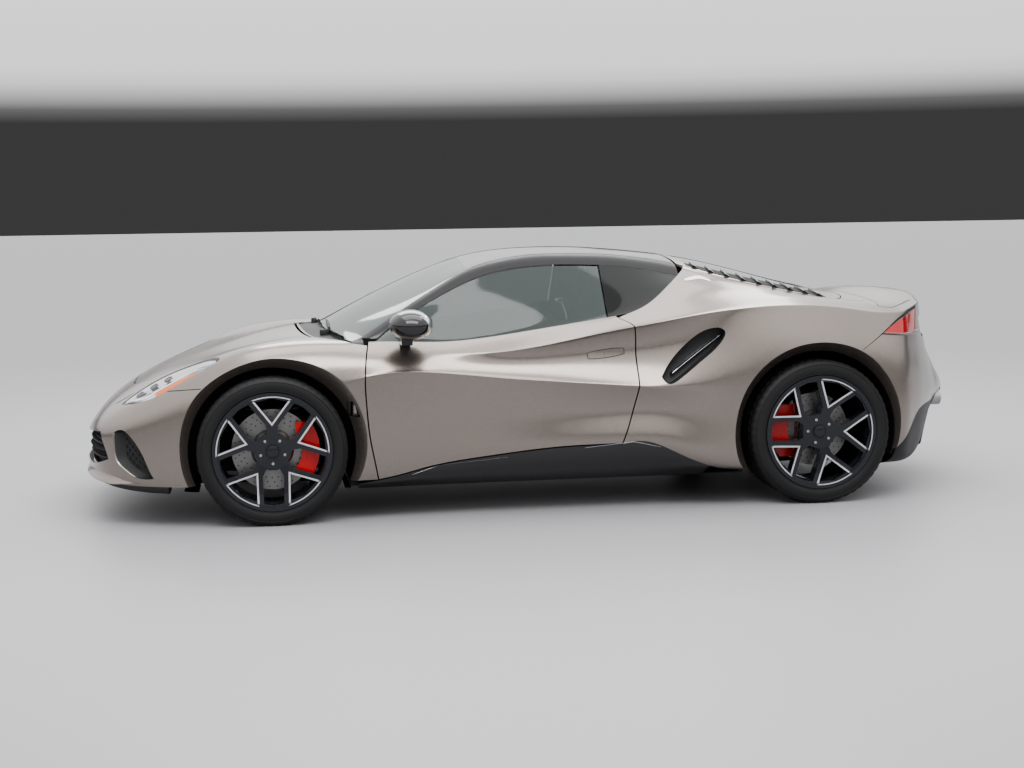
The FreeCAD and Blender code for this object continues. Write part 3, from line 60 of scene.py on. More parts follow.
def makeCamera(fit):
    yaw, pitch, roll = (math.radians(fit[key]) for key in ("yaw", "pitch", "roll"))
    ahead = Vector((math.sin(yaw) * math.cos(pitch), -math.cos(yaw) * math.cos(pitch), -math.sin(pitch)))
    side = ahead.cross(Vector((0, 0, 1))).normalized()
    top = side.cross(ahead)
    right = side * math.cos(roll) + top * math.sin(roll)
    above = top * math.cos(roll) - side * math.sin(roll)
    data = bpy.data.cameras.new("photoCamera")
    data.lens, data.sensor_width = fit["lens"], fit["sensor"]
    camera = bpy.data.objects.new("photoCamera", data)
    scene.collection.objects.link(camera)
    rows = Matrix((right, above, -ahead)).transposed().to_4x4()
    camera.matrix_world = Matrix.Translation(fit["place"]) @ rows
    scene.camera = camera


class Sock:
    # an output socket with arithmetic; each operator adds a Math node
    def __init__(self, tree, socket):
        self.tree, self.socket = tree, socket

    def math(self, operation, other):
        node = self.tree.nodes.new("ShaderNodeMath")
        node.operation = operation
        for slot, value in zip(node.inputs, (self, other)):
            if isinstance(value, Sock):
                self.tree.links.new(value.socket, slot)
            else:
                slot.default_value = value
        return Sock(self.tree, node.outputs[0])

    def __add__(self, other):
        return self.math("ADD", other)

    __radd__ = __add__

    def __mul__(self, other):
        return self.math("MULTIPLY", other)

    __rmul__ = __mul__

    def __sub__(self, other):
        return self.math("SUBTRACT", other)

    def __rsub__(self, other):
        return self.math("MULTIPLY", -1.0) + other

    def clip(self, low, high):
        return self.math("MAXIMUM", low).math("MINIMUM", high)


class Nodes:
    # a node tree and the one way to add a node to it
    def __init__(self, tree):
        self.tree = tree

    def plug(self, socket, value):
        # a Sock is linked to the input; anything else becomes the input's value
        if isinstance(value, Sock):
            self.tree.links.new(value.socket, socket)
        elif isinstance(value, tuple) and len(value) == 3 and socket.type == "RGBA":
            socket.default_value = (*value, 1.0)
        else:
            socket.default_value = value

    def node(self, kind, settings=None, output=0, **sockets):
        # settings are set first; a socket is named, or _ and its number
        made = self.tree.nodes.new("ShaderNode" + kind)
        for key, value in (settings or {}).items():
            if key == "ramp":
                elements = made.color_ramp.elements
                while len(elements) < len(value):
                    elements.new(0.5)
                for element, (place, color) in zip(elements, value):
                    element.position = place
                    element.color = (*color, 1.0)
            else:
                setattr(made, key, value)
        for key, value in sockets.items():
            self.plug(made.inputs[int(key[1:]) if key[0] == "_" else key.replace("_", " ")], value)
        return Sock(self.tree, made.outputs[output])


class Finish(Nodes):
    # a material with a Principled shader
    def __init__(self, name, **values):
        self.material = bpy.data.materials.new(name)
        self.material.use_nodes = True
        super().__init__(self.material.node_tree)
        self.shader = self.tree.nodes["Principled BSDF"]
        self.set(**values)

    def set(self, **values):
        for key, value in values.items():
            self.plug(self.shader.inputs[key.replace("_", " ")], value)

    def place(self):
        return self.node("TexCoord", output=3)

    def noise(self, scale, detail=3.0):
        return self.node("TexNoise", Vector=self.place(), Scale=scale, Detail=detail)

    def bump(self, height, strength, distance):
        return self.node("Bump", Height=height, Strength=strength, Distance=distance)

    def mix(self, factor, first, second):
        return self.node("Mix", {"data_type": "RGBA"}, 2, _0=factor, _6=first, _7=second)


def makeStage(look):
    half = look["size"] / 2
    mesh = bpy.data.meshes.new("floor")
    verts = [(-half, -half, 0), (half, -half, 0), (half, half, 0), (-half, half, 0)]
    mesh.from_pydata(verts, [], [(0, 1, 2, 3)])
    floor = bpy.data.objects.new("floor", mesh)
    scene.collection.objects.link(floor)
    finish = Finish("studioFloor", Base_Color=look["floor"], Roughness=look["roughness"],
                    Specular_IOR_Level=0.3)
    mesh.materials.append(finish.material)
    world = bpy.data.worlds.new("studio")
    scene.world = world
    world.use_nodes = True
    sky = Nodes(world.node_tree)
    height = sky.node("SeparateXYZ", None, 2, Vector=sky.node("TexCoord")) * 0.5 + 0.5
    stops = [(place, (shade, shade, shade * 1.01)) for place, shade in look["sky"]]
    sky.plug(sky.tree.nodes["Background"].inputs[0], sky.node("ValToRGB", {"ramp": stops}, 0, _0=height))
    for name, row in stageLamps.items():
        data = bpy.data.lights.new(name, "AREA")
        data.shape, data.energy = "RECTANGLE", row["power"]
        data.size, data.size_y = row["size"]
        lamp = bpy.data.objects.new(name, data)
        scene.collection.objects.link(lamp)
        lamp.location = row["place"]
        lamp.rotation_euler = (Vector(row["aim"]) - Vector(row["place"])).to_track_quat("-Z", "Y").to_euler()
    scene.view_settings.view_transform = "AgX"
    scene.view_settings.look = "AgX - Medium High Contrast"


makeCamera(cameraFit)
makeStage(stageLook)
print("camera and stage made")

# finishes: a colour is linear red, green and blue, and grain is the scale of the fine noise
paintLook = {"dark": (0.228, 0.198, 0.178), "light": (0.254, 0.222, 0.201), "flake": (0.37, 0.334, 0.306)}
rubberLook = {"dark": (0.008, 0.008, 0.009), "light": (0.018, 0.018, 0.018)}


def tinted(color, share):
    return tuple(c * share for c in color)


def paintFinish():
    f = Finish("bronzePaint", Metallic=0.86, Coat_Weight=0.5, Coat_Roughness=0.12, Coat_IOR=1.5)
    fine = f.noise(900.0, 2.0)
    broad = f.noise(1.6, 2.0)
    base = f.mix(broad * 0.5, paintLook["dark"], paintLook["light"])
    f.set(Base_Color=f.mix((fine - 0.45) * 1.6, base, paintLook["flake"]), Roughness=fine * 0.10 + 0.21,
          Normal=f.bump(f.noise(160.0, 2.0), 0.02, 0.001))
    return f.material


def glossFinish(name, color, roughness=0.08, coat=0.6):
    f = Finish(name, Specular_IOR_Level=0.4, Coat_Weight=coat, Coat_Roughness=0.04)
    dust = f.noise(30.0, 4.0)
    f.set(Base_Color=f.mix(dust * 0.3, color, tuple(c * 1.25 + 0.004 for c in color)),
          Roughness=dust * 0.06 + roughness)
    return f.material


def plasticFinish(name, color, roughness=0.55, shine=0.5):
    f = Finish(name, Specular_IOR_Level=shine)
    fine = f.noise(500.0)
    wide = f.noise(6.0)
    f.set(Base_Color=f.mix(wide * 0.5, color, tinted(color, 1.3)), Roughness=wide * 0.12 + roughness,
          Normal=f.bump(fine, 0.12, 0.0008))
    return f.material


def metalFinish(name, color, roughness=0.3, grain=240.0):
    f = Finish(name, Metallic=1.0)
    fine = f.noise(grain)
    wide = f.noise(14.0)
    f.set(Base_Color=f.mix(wide * 0.5, color, tinted(color, 0.8)), Roughness=fine * 0.16 + roughness,
          Normal=f.bump(fine, 0.05, 0.0005))
    return f.material


def glassFinish(name, tint, clear, veil=0.5, shine=0.5):
    # thin tinted pane: mostly see-through, with a glossy coat and a veil at grazing angles
    f = Finish(name, Base_Color=tint, Roughness=0.05, IOR=1.5, Specular_IOR_Level=shine,
               Coat_Weight=shine * 0.6, Coat_Roughness=0.06)
    edge = f.node("LayerWeight", None, 1, Blend=0.35)
    f.set(Alpha=(edge * veil + (1.0 - clear)).clip(0.0, 0.97))
    return f.material


def rubberFinish():
    f = Finish("tyreRubber", Specular_IOR_Level=0.35)
    wide = f.noise(9.0, 4.0)
    fine = f.noise(420.0, 2.0)
    f.set(Base_Color=f.mix(wide * 0.7, rubberLook["dark"], rubberLook["light"]), Roughness=wide * 0.15 + 0.50,
          Normal=f.bump(fine, 0.15, 0.0006))
    return f.material


def leatherFinish(name, color):
    f = Finish(name, Specular_IOR_Level=0.4)
    cells = f.node("TexVoronoi", {"feature": "DISTANCE_TO_EDGE"}, 0, Vector=f.place(), Scale=620.0)
    wide = f.noise(7.0, 4.0)
    f.set(Base_Color=f.mix(wide * 0.6, color, tinted(color, 1.5)), Roughness=wide * 0.15 + 0.45,
          Normal=f.bump(cells, 0.06, 0.0003))
    return f.material


looks = {
    "paint": paintFinish(),
    "gloss_black": glossFinish("glossBlack", (0.012, 0.012, 0.013)),
    "black_plastic": plasticFinish("mouldedBlack", (0.018, 0.018, 0.019)),
    "glass": glassFinish("tintedGlass", (0.050, 0.066, 0.062), clear=0.45),
    "darkGlass": glassFinish("privacyGlass", (0.012, 0.013, 0.013), clear=0.10, veil=0.1, shine=0.2),
    "pillar": plasticFinish("pillarSatin", (0.017, 0.017, 0.018), roughness=0.38, shine=0.3),
    "tyre": rubberFinish(),
    "rim": glossFinish("gunmetalLacquer", (0.010, 0.011, 0.015), roughness=0.24, coat=0.25),
    # the disc's cast-iron grey, darkened as painted shade of the wheel's inside
    "disc": metalFinish("castDiscWithPaintedShade", (0.25, 0.245, 0.24), roughness=0.34, grain=400.0),
    "caliper": glossFinish("redCaliper", (0.52, 0.008, 0.006), roughness=0.25, coat=0.25),
    "steel": metalFinish("castAlloy", (0.42, 0.42, 0.43), roughness=0.38),
    "tub": plasticFinish("darkTub", (0.03, 0.03, 0.031), roughness=0.6),
    "leather": leatherFinish("blackLeather", (0.045, 0.042, 0.040)),
    "lamp_red": glossFinish("redLens", (0.42, 0.008, 0.010), roughness=0.06),
    "lamp_clear": glassFinish("clearLens", (0.34, 0.36, 0.39), clear=0.90, veil=0.10),
    "machined": metalFinish("machinedAlloy", (0.74, 0.74, 0.76), roughness=0.20, grain=600.0),
    # bright metal for the disc bells and trims, also laid on the sill as a painted highlight
    "bell": metalFinish("discBellAndPaintedHighlight", (0.78, 0.78, 0.79), roughness=0.24, grain=300.0),
    # dark matte for shut lines and seams, also laid as painted shade in the disc's holes and under the louvre
    # slats
    "line": plasticFinish("shutLineAndHollowShade", (0.012, 0.011, 0.010), roughness=0.7),
    "amber": glossFinish("amberLens", (0.62, 0.13, 0.003), roughness=0.3, coat=0.0),
    "pearl": metalFinish("lampReflector", (0.80, 0.80, 0.82), roughness=0.12, grain=90.0),
    "lampDark": glossFinish("lampHousing", (0.05, 0.05, 0.055), roughness=0.15),
    "mirrorGlass": metalFinish("mirrorGlass", (0.75, 0.77, 0.78), roughness=0.03, grain=40.0),
}
slotOf = {row["node"]: row["material_slot"] for row in frame["record"]["subparts"]}
nodeLooks = {"quarter_glasses": "darkGlass", "roof_frame": "pillar", "door_hinges": "black_plastic"}
for name, thing in nodes.items():
    thing.data.materials.clear()
    thing.data.materials.append(looks[nodeLooks.get(name, slotOf[name])])
print("finishes set on", len(nodes), "nodes")


# meshes that several pieces share
def addPiece(name, verts, faces, look, body, sharp=None):
    # edges sharper than the angle stay crisp on a smooth piece; without an angle the faces are flat
    mesh = bpy.data.meshes.new(name)
    mesh.from_pydata([tuple(v) for v in verts], [], [tuple(f) for f in faces])
    mesh.validate()
    mesh.materials.append(look)
    thing = bpy.data.objects.new(name, mesh)
    scene.collection.objects.link(thing)
    if sharp:
        mesh.polygons.foreach_set("use_smooth", [True] * len(mesh.polygons))
        mesh.set_sharp_from_angle(angle=math.radians(sharp))
    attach(thing, body)
    return thing


def lathe(profile, steps, centre, shape=None):
    # rings of (radius, y) about an axis along Y through centre; shape may move a point by ring and angle
    verts, faces = [], []
    count = len(profile)
    for k in range(steps):
        angle = 2 * math.pi * k / steps
        for i, (radius, y) in enumerate(profile):
            r = radius + (shape(i, k) if shape else 0.0)
            verts.append((centre[0] + r * math.cos(angle), centre[1] + y, centre[2] + r * math.sin(angle)))
    for k in range(steps):
        for i in range(count - 1):
            a, b = k * count + i, ((k + 1) % steps) * count + i
            faces.append((a, a + 1, b + 1, b))
    return verts, faces


def closedPrism(outline, depth):
    # an outline swept through a depth vector, capped
    count = len(outline)
    verts = [Vector(p) for p in outline] + [Vector(p) + depth for p in outline]
    faces = [tuple(range(count)), tuple(reversed(range(count, 2 * count)))]
    faces += [(i, i + count, (i + 1) % count + count, (i + 1) % count) for i in range(count)]
    return verts, faces


def joined(parts):
    verts, faces = [], []
    for v, f in parts:
        start = len(verts)
        verts += list(v)
        faces += [tuple(i + start for i in face) for face in f]
    return verts, faces


def outward(verts, faces):
    # faces turned so that the closed mesh's volume is positive
    volume = 0.0
    for face in faces:
        p = [Vector(verts[i]) for i in face]
        for k in range(1, len(p) - 1):
            volume += p[0].dot(p[k].cross(p[k + 1]))
    return faces if volume > 0 else [tuple(reversed(f)) for f in faces]


# wheels: every part is made for the left side, and addWheelPart mirrors it for the right
wheelSize = {
    "front": {"centre": (1.332, 0.783, 0.340), "tyre": 0.340, "width": 0.245, "disc": 0.185, "turn": 90.0},
    "rear": {"centre": (-1.243, 0.775, 0.3425), "tyre": 0.3425, "width": 0.300, "disc": 0.175, "turn": 110.0},
}
wheels = [(axle, sideName) for axle in ("front", "rear") for sideName in ("left", "right")]
spokeCount = 5
spokeStep = 360 / spokeCount
treadLook = {"steps": 216, "seat": 0.2547, "crown": 0.024, "sipe": 0.0032, "sipeReach": 0.013, "sipeEvery": 4,
             "shoulder": 0.31, "groove": 0.006, "grooves": (0.62, 0.22, -0.22, -0.62), "grooveTop": 0.0045,
             "grooveFoot": 0.0035, "grooveFrom": 0.0055, "grooveIn": 0.02,
             # height over the rim's seat, and distance in from the tyre's side
             "lowRows": ((0.0035, 0.014), (0.0155, 0.0095), (0.0185, 0.0045), (0.022, 0.0032),
                         (0.0235, 0.0045), (0.030, 0.0012), (0.044, 0.0), (0.055, 0.0005)),
             # depth under the tread, and distance in from the tyre's side
             "highRows": ((0.0225, 0.0028), (0.0210, 0.0012), (0.0195, 0.0034), (0.012, 0.0075),
                          (0.0065, 0.0125), (0.0025, 0.0190))}
# radius and depth under the tyre's side, as in the cast wheel
faceRows = ((0.0, 0.038), (0.080, 0.034), (0.200, 0.022), (0.2465, 0.0145), (0.2480, 0.002), (0.280, 0.002))
bandLook = {"outer": {"apex": 0.116, "corner": 0.2540, "spread": 21.0},
            "inner": {"apex": 0.1295, "corner": 0.2482, "spread": 18.6}, "lift": 0.0012, "depth": 0.010,
            "steps": 14}
# radius and height over the wheel's face at faceAt
hubLook = {"cap": ((0.0001, 0.006), (0.022, 0.0055), (0.027, 0.004), (0.030, -0.004)),
           "collar": ((0.0305, -0.006), (0.0305, 0.003), (0.0335, 0.0032), (0.034, -0.006)),
           "bolt": ((0.0001, 0.004), (0.0060, 0.004), (0.0075, 0.0025), (0.0085, -0.006)),
           "boltSeat": ((0.0088, -0.002), (0.0115, 0.0005), (0.0125, -0.004)),
           "faceAt": 0.04, "boltCircle": 0.057, "steps": 48, "boltSteps": 6, "seatSteps": 24}


def addWheelPart(name, parts, look, axle, sideName, sharp=30):
    verts, faces = joined(parts)
    if sideName == "right":
        verts = [(x, -y, z) for x, y, z in verts]
        faces = [tuple(reversed(face)) for face in faces]
    key = f"{axle}_{sideName}"
    return addPiece(f"{name}_{key}", verts, faces, look, f"wheel_{key}", sharp)


def tyreProfile(size):
    half, r = size["width"] / 2, size["tyre"]
    side = [(treadLook["seat"] + up, half - inset) for up, inset in treadLook["lowRows"]]
    side += [(r - down, half - inset) for down, inset in treadLook["highRows"]]
    floor, top, foot = r - treadLook["groove"], treadLook["grooveTop"], treadLook["grooveFoot"]
    crown = [(r, half - treadLook["crown"])]
    for share in treadLook["grooves"]:
        g = half * share
        crown += [(r, g + top), (floor, g + foot), (floor, g - foot), (r, g - top)]
    crown.append((r, treadLook["crown"] - half))
    return side + crown + [(a, -b) for a, b in reversed(side)]


def makeTyre(axle, sideName):
    size = wheelSize[axle]
    profile, steps, every = tyreProfile(size), treadLook["steps"], treadLook["sipeEvery"]
    grooveY = size["width"] / 2 - treadLook["grooveIn"]

    def sipe(i, k):
        # thin cuts across the tread's blocks, half a pitch later on the shoulders
        radius, y = profile[i]
        inGroove = radius < size["tyre"] - treadLook["grooveFrom"] and abs(y) < grooveY
        if inGroove or radius < size["tyre"] - treadLook["sipeReach"]:
            return 0.0
        shift = every // 2 if abs(y) > size["width"] * treadLook["shoulder"] else 0
        return -treadLook["sipe"] if (k + shift) % every == 0 else 0.0

    verts, faces = lathe(profile, steps, size["centre"], sipe)
    count = len(profile)
    for k in range(steps):
        a, b = k * count, ((k + 1) % steps) * count
        faces.append((a, b, b + count - 1, a + count - 1))
    thing = addWheelPart("tyre_tread", [(verts, faces)], looks["tyre"], axle, sideName, 38)
    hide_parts(f"tyre_{axle}_{sideName}")


def faceHeight(size, radius):
    radii, depths = zip(*faceRows)
    return float(np.interp(radius, radii, [size["width"] / 2 - depth for depth in depths]))


def bandRing(row, mid):
    # a closed line: from the apex out along one arm, round the rim, and back along the other arm
    def at(radius, angle):
        return Vector((radius * math.cos(angle), radius * math.sin(angle)))

    steps, corner, swing = bandLook["steps"], row["corner"], math.radians(row["spread"])
    apex, start, end = at(row["apex"], mid), at(corner, mid - swing), at(corner, mid + swing)
    return ([apex.lerp(start, k / steps) for k in range(steps)]
            + [at(corner, mid - swing + 2 * swing * k / steps) for k in range(steps)]
            + [end.lerp(apex, k / steps) for k in range(steps)])


def makeBands(axle, sideName):
    size = wheelSize[axle]
    cx, cy, cz = size["centre"]
    depth, parts = bandLook["depth"], []
    for spoke in range(spokeCount):
        mid = math.radians(size["turn"] + spokeStep * spoke)
        outer, inner = bandRing(bandLook["outer"], mid), bandRing(bandLook["inner"], mid)
        count = len(outer)
        verts, faces = [], []
        for ring, sink in ((outer, -depth), (outer, 0.0), (inner, 0.0), (inner, -depth)):
            for p in ring:
                y = faceHeight(size, p.length) + bandLook["lift"] + sink
                verts.append((cx + p.x, cy + y, cz + p.y))
        for ring in range(3):
            for k in range(count):
                a, b = ring * count + k, ring * count + (k + 1) % count
                faces.append((a + count, b + count, b, a))
        parts.append((verts, faces))
    addWheelPart("machined_bands", parts, looks["machined"], axle, sideName)


def makeHub(axle, sideName):
    size, reach = wheelSize[axle], hubLook["boltCircle"]
    cx, cy, cz = size["centre"]
    out = faceHeight(size, hubLook["faceAt"])
    cap, collar, bolt, boltSeat = ([(radius, out + y) for radius, y in hubLook[key]]
                                   for key in ("cap", "collar", "bolt", "boltSeat"))
    bolts = []
    for k in range(spokeCount):
        angle = math.radians(size["turn"] + spokeStep * (k + 0.5))
        at = (cx + reach * math.cos(angle), cy, cz + reach * math.sin(angle))
        bolts += [lathe(bolt, hubLook["boltSteps"], at), lathe(boltSeat, hubLook["seatSteps"], at)]
    caps = [lathe(profile, hubLook["steps"], size["centre"]) for profile in (cap, collar)]
    addWheelPart("wheel_cap", caps, looks["rim"], axle, sideName)
    addWheelPart("wheel_bolts", bolts, looks["steel"], axle, sideName)


for wheel in wheels:
    makeTyre(*wheel)
    makeBands(*wheel)
    makeHub(*wheel)
print("wheels dressed")


# pieces draped over the bodywork: a view is where its line of sight starts and the way it goes
viewWays = {"side": ((0, 3, 0), (0, -1, 0)), "plan": ((0, 0, 3), (0, 0, -1)),
            "nose": ((4, 0, 0), (-1, 0, 0)), "tail": ((-4, 0, 0), (1, 0, 0))}
mirrorNames = {"door_left": "door_right"}
drapeLook = {"curveSteps": 12, "edgeSteps": 24, "steps": 28, "sink": 0.0015, "sharp": 35}


def surfaceOf(*names):
    verts, faces = [], []
    for name in names:
        thing = nodes[name]
        start = len(verts)
        verts += [thing.matrix_world @ v.co for v in thing.data.vertices]
        faces += [tuple(i + start for i in polygon.vertices) for polygon in thing.data.polygons]
    return BVHTree.FromPolygons(verts, faces)


def onSkin(tree, view, p, lift, guess=None):
    # where the sight line through p meets the surface: the point lifted off it, and the point on it
    start, way = (Vector(v) for v in viewWays[view])
    start += Vector({"side": (p[0], 0, p[1]), "plan": (p[0], p[1], 0)}.get(view, (0, p[0], p[1])))
    hit, normal, _, _ = tree.ray_cast(start, way)
    if hit is None:
        hit, normal, _, _ = tree.find_nearest(guess or start + way * start.length)
    if normal.dot(way) > 0:
        normal = -normal
    return hit + normal * lift, hit


def along(line, count):
    # points at even steps on a smooth curve through the line's points
    pts = [Vector(p) for p in line]
    if len(pts) > 2:
        fine, steps = [], drapeLook["curveSteps"]
        ends = [pts[0] * 2 - pts[1], *pts, pts[-1] * 2 - pts[-2]]
        for k in range(1, len(ends) - 2):
            a, b, c, d = ends[k - 1:k + 3]
            for j in range(steps):
                t = j / steps
                fine.append(0.5 * (2 * b + (c - a) * t + (2 * a - 5 * b + 4 * c - d) * t * t
                                   + (3 * b - a - 3 * c + d) * t ** 3))
        pts = fine + [pts[-1]]
    reach = [0.0]
    for a, b in zip(pts, pts[1:]):
        reach.append(reach[-1] + (b - a).length)
    out = []
    for k in range(count):
        target = reach[-1] * k / (count - 1)
        j = max(0, min(len(pts) - 2, int(np.searchsorted(reach, target, side="right")) - 1))
        share = (target - reach[j]) / max(reach[j + 1] - reach[j], 1e-9)
        out.append(pts[j].lerp(pts[j + 1], share))
    return out


def bothSides(name, verts, faces, look, body, sharp=drapeLook["sharp"]):
    addPiece(name + "_left", verts, faces, look, body, sharp)
    other = [(v[0], -v[1], v[2]) for v in verts]
    addPiece(name + "_right", other, [tuple(reversed(f)) for f in faces], look, mirrorNames.get(body, body),
             sharp)


def band(lift):
    # a strip's cross-section: slightly crowned on top, its foot sunk in the skin
    sink = drapeLook["sink"]
    return [(0.0, -sink), (0.0, lift * 0.6), (0.18, lift), (0.5, lift * 1.1), (0.82, lift), (1.0, lift * 0.6),
            (1.0, -sink)]


def drapeMesh(row, view, tree):
    # a closed strip between a row's two edge curves; profile points are (share across, lift)
    first, second = along(row["first"], row["steps"]), along(row["second"], row["steps"])
    profile = row.get("profile") or band(row["lift"])
    size, guess = len(profile), None
    verts, faces = [], []
    for a, b in zip(first, second):
        for share, lift in profile:
            point, guess = onSkin(tree, view, a.lerp(b, share), lift, guess)
            verts.append(point)
    for k in range(row["steps"] - 1):
        for i in range(size):
            j = (i + 1) % size
            faces.append((k * size + i, k * size + j, (k + 1) * size + j, (k + 1) * size + i))
    faces.append(tuple(range(size))[::-1])
    faces.append(tuple(range(len(verts) - size, len(verts))))
    return verts, faces


def drape(name, row, view, tree, look, body, mirror=True):
    verts, faces = drapeMesh(row, view, tree)
    faces = outward(verts, faces)
    if mirror:
        bothSides(name, verts, faces, look, body)
    else:
        addPiece(name, verts, faces, look, body, drapeLook["sharp"])


def ribbon(name, row, view, tree, look, body, mirror=True):
    # a strip of a row's width about its line, narrower at its ends by the taper share
    pts = along(row["line"], drapeLook["edgeSteps"])
    left, right = [], []
    for k, p in enumerate(pts):
        q, r = pts[max(0, k - 1)], pts[min(len(pts) - 1, k + 1)]
        way = (r - q).normalized()
        side = Vector((-way.y, way.x))
        share = abs(2 * k / (len(pts) - 1) - 1)
        half = row["width"] / 2 * (1 - row["taper"] * share ** 3)
        left.append(p + side * half)
        right.append(p - side * half)
    edges = {"first": left, "second": right, "lift": row["lift"], "steps": drapeLook["steps"]}
    drape(name, edges, view, tree, look, body, mirror)


def inside(outline, q):
    # whether a point lies inside an outline, by how often its level line crosses the edges
    hit = False
    for (x0, y0), (x1, y1) in zip(outline, outline[1:] + outline[:1]):
        if (y0 > q[1]) != (y1 > q[1]) and q[0] < (x1 - x0) * (q[1] - y0) / (y1 - y0) + x0:
            hit = not hit
    return hit


def honeycomb(name, row, view, tree, mirror=True):
    # six-sided rings whose middles lie inside a row's outline, laid on a surface
    outline, pitch, wall, lift = (row[key] for key in ("outline", "pitch", "wall", "lift"))
    xs, ys = [p[0] for p in outline], [p[1] for p in outline]
    reach = pitch / math.sqrt(3)
    verts, faces = [], []
    line, y = 0, min(ys)
    while y < max(ys):
        x = min(xs) + (pitch / 2 if line % 2 else 0.0)
        while x < max(xs):
            if inside(outline, (x, y)):
                start = len(verts)
                for radius, height in ((reach, lift), (reach - wall, lift), (reach - wall, lift - wall * 2)):
                    for k in range(6):
                        t = math.pi / 6 + k * math.pi / 3
                        spot = (x + radius * math.cos(t), y + radius * math.sin(t))
                        verts.append(onSkin(tree, view, spot, height)[0])
                for ring in range(2):
                    for k in range(6):
                        a, b = start + ring * 6 + k, start + ring * 6 + (k + 1) % 6
                        faces.append((a, b, b + 6, a + 6))
            x += pitch
        y += pitch * math.sqrt(3) / 2
        line += 1
    if mirror:
        bothSides(name, verts, faces, looks["black_plastic"], "chassis", None)
    else:
        addPiece(name, verts, faces, looks["black_plastic"], "chassis")


frontTree = surfaceOf("front_clamshell")
headTree = surfaceOf("headlamps", "front_clamshell")
bonnetTree = surfaceOf("bonnet", "front_clamshell", "headlamps")
rearTree = surfaceOf("rear_clamshell", "rear_bumper", "tail_lamps")
doorTree = surfaceOf("door_left")
deckTree = surfaceOf("tailgate", "tailgate_glass", "rear_clamshell", "rear_bumper")
screenTree = surfaceOf("windscreen")
ductTree = surfaceOf("front_intakes")
print("surfaces read")

# headlamps: points are (x, y) in plan, and the left one is mirrored
lampLook = {
    "bowl": {"first": [(2.004, 0.602), (1.910, 0.735), (1.826, 0.780), (1.760, 0.792), (1.660, 0.798),
                       (1.585, 0.792)],
             "second": [(2.000, 0.600), (1.942, 0.592), (1.838, 0.580), (1.733, 0.592), (1.640, 0.655),
                        (1.575, 0.760)],
             "profile": [(0.0, -0.003), (0.12, -0.010), (0.32, -0.016), (0.34, -0.010), (0.50, -0.013),
                         (0.52, -0.008), (0.80, -0.010), (0.97, -0.003), (0.97, -0.024), (0.0, -0.024)],
             "steps": 40},
    "amber": {"first": [(1.850, 0.772), (1.795, 0.788), (1.735, 0.796), (1.665, 0.798)],
              "second": [(1.842, 0.742), (1.795, 0.756), (1.735, 0.766), (1.668, 0.782)],
              "profile": [(0.0, -0.002), (0.3, -0.001), (0.7, -0.001), (1.0, -0.002), (1.0, -0.008),
                          (0.0, -0.008)],
              "steps": 18},
    "guide": {"line": [(1.985, 0.622), (1.905, 0.720), (1.840, 0.742), (1.760, 0.755), (1.660, 0.765)],
              "width": 0.012, "lift": 0.001, "taper": 0.5},
    "projectors": ((1.925, 0.640), (1.860, 0.650), (1.795, 0.662)),
    "lens": ((0.0001, 0.003), (0.012, 0.0015), (0.017, -0.001), (0.0175, 0.004), (0.021, 0.004),
             (0.0215, -0.004)),
    "lensSteps": 28, "lensSink": 0.004,
}
drape("lamp_bowl", lampLook["bowl"], "plan", headTree, looks["pearl"], "chassis")
drape("lamp_amber", lampLook["amber"], "plan", headTree, looks["amber"], "chassis")
ribbon("lamp_light_guide", lampLook["guide"], "plan", headTree, looks["pearl"], "chassis")
for k, spot in enumerate(lampLook["projectors"]):
    centre, hit = onSkin(headTree, "plan", spot, -lampLook["lensSink"])
    verts, faces = lathe(lampLook["lens"], lampLook["lensSteps"], (0, 0, 0))
    normal = (centre - hit).normalized() * -1
    turn = Vector((0, 1, 0)).rotation_difference(normal).to_matrix()
    verts = [tuple(turn @ Vector(v) + centre) for v in verts]
    bothSides(f"lamp_projector_{k + 1}", verts, faces, looks["lampDark"], "chassis")

# nose: the slit is in plan, the fender's seam in side view, and the meshes in front view
noseLook = {
    "slit": {"line": [(2.045, 0.505), (1.995, 0.545), (1.957, 0.556)], "width": 0.010, "lift": 0.0004,
             "taper": 0.6},
    "fenderSeam": {"line": [(1.795, 0.620), (1.703, 0.629), (1.640, 0.634)], "width": 0.0035, "lift": 0.0003,
                   "taper": 0.0},
    "cornerMesh": {"outline": [(0.712, 0.410), (0.755, 0.425), (0.775, 0.390), (0.800, 0.310), (0.805, 0.245),
                               (0.780, 0.245), (0.755, 0.270), (0.728, 0.300), (0.715, 0.350)],
                   "pitch": 0.020, "wall": 0.0022, "lift": 0.004},
    "noseMesh": {"outline": [(-0.62, 0.300), (0.62, 0.300), (0.585, 0.400), (0.0, 0.372), (-0.585, 0.400)],
                 "pitch": 0.026, "wall": 0.0024, "lift": 0.004},
}
ribbon("bonnet_slit", noseLook["slit"], "plan", bonnetTree, looks["line"], "chassis")
ribbon("fender_seam", noseLook["fenderSeam"], "side", frontTree, looks["line"], "chassis")

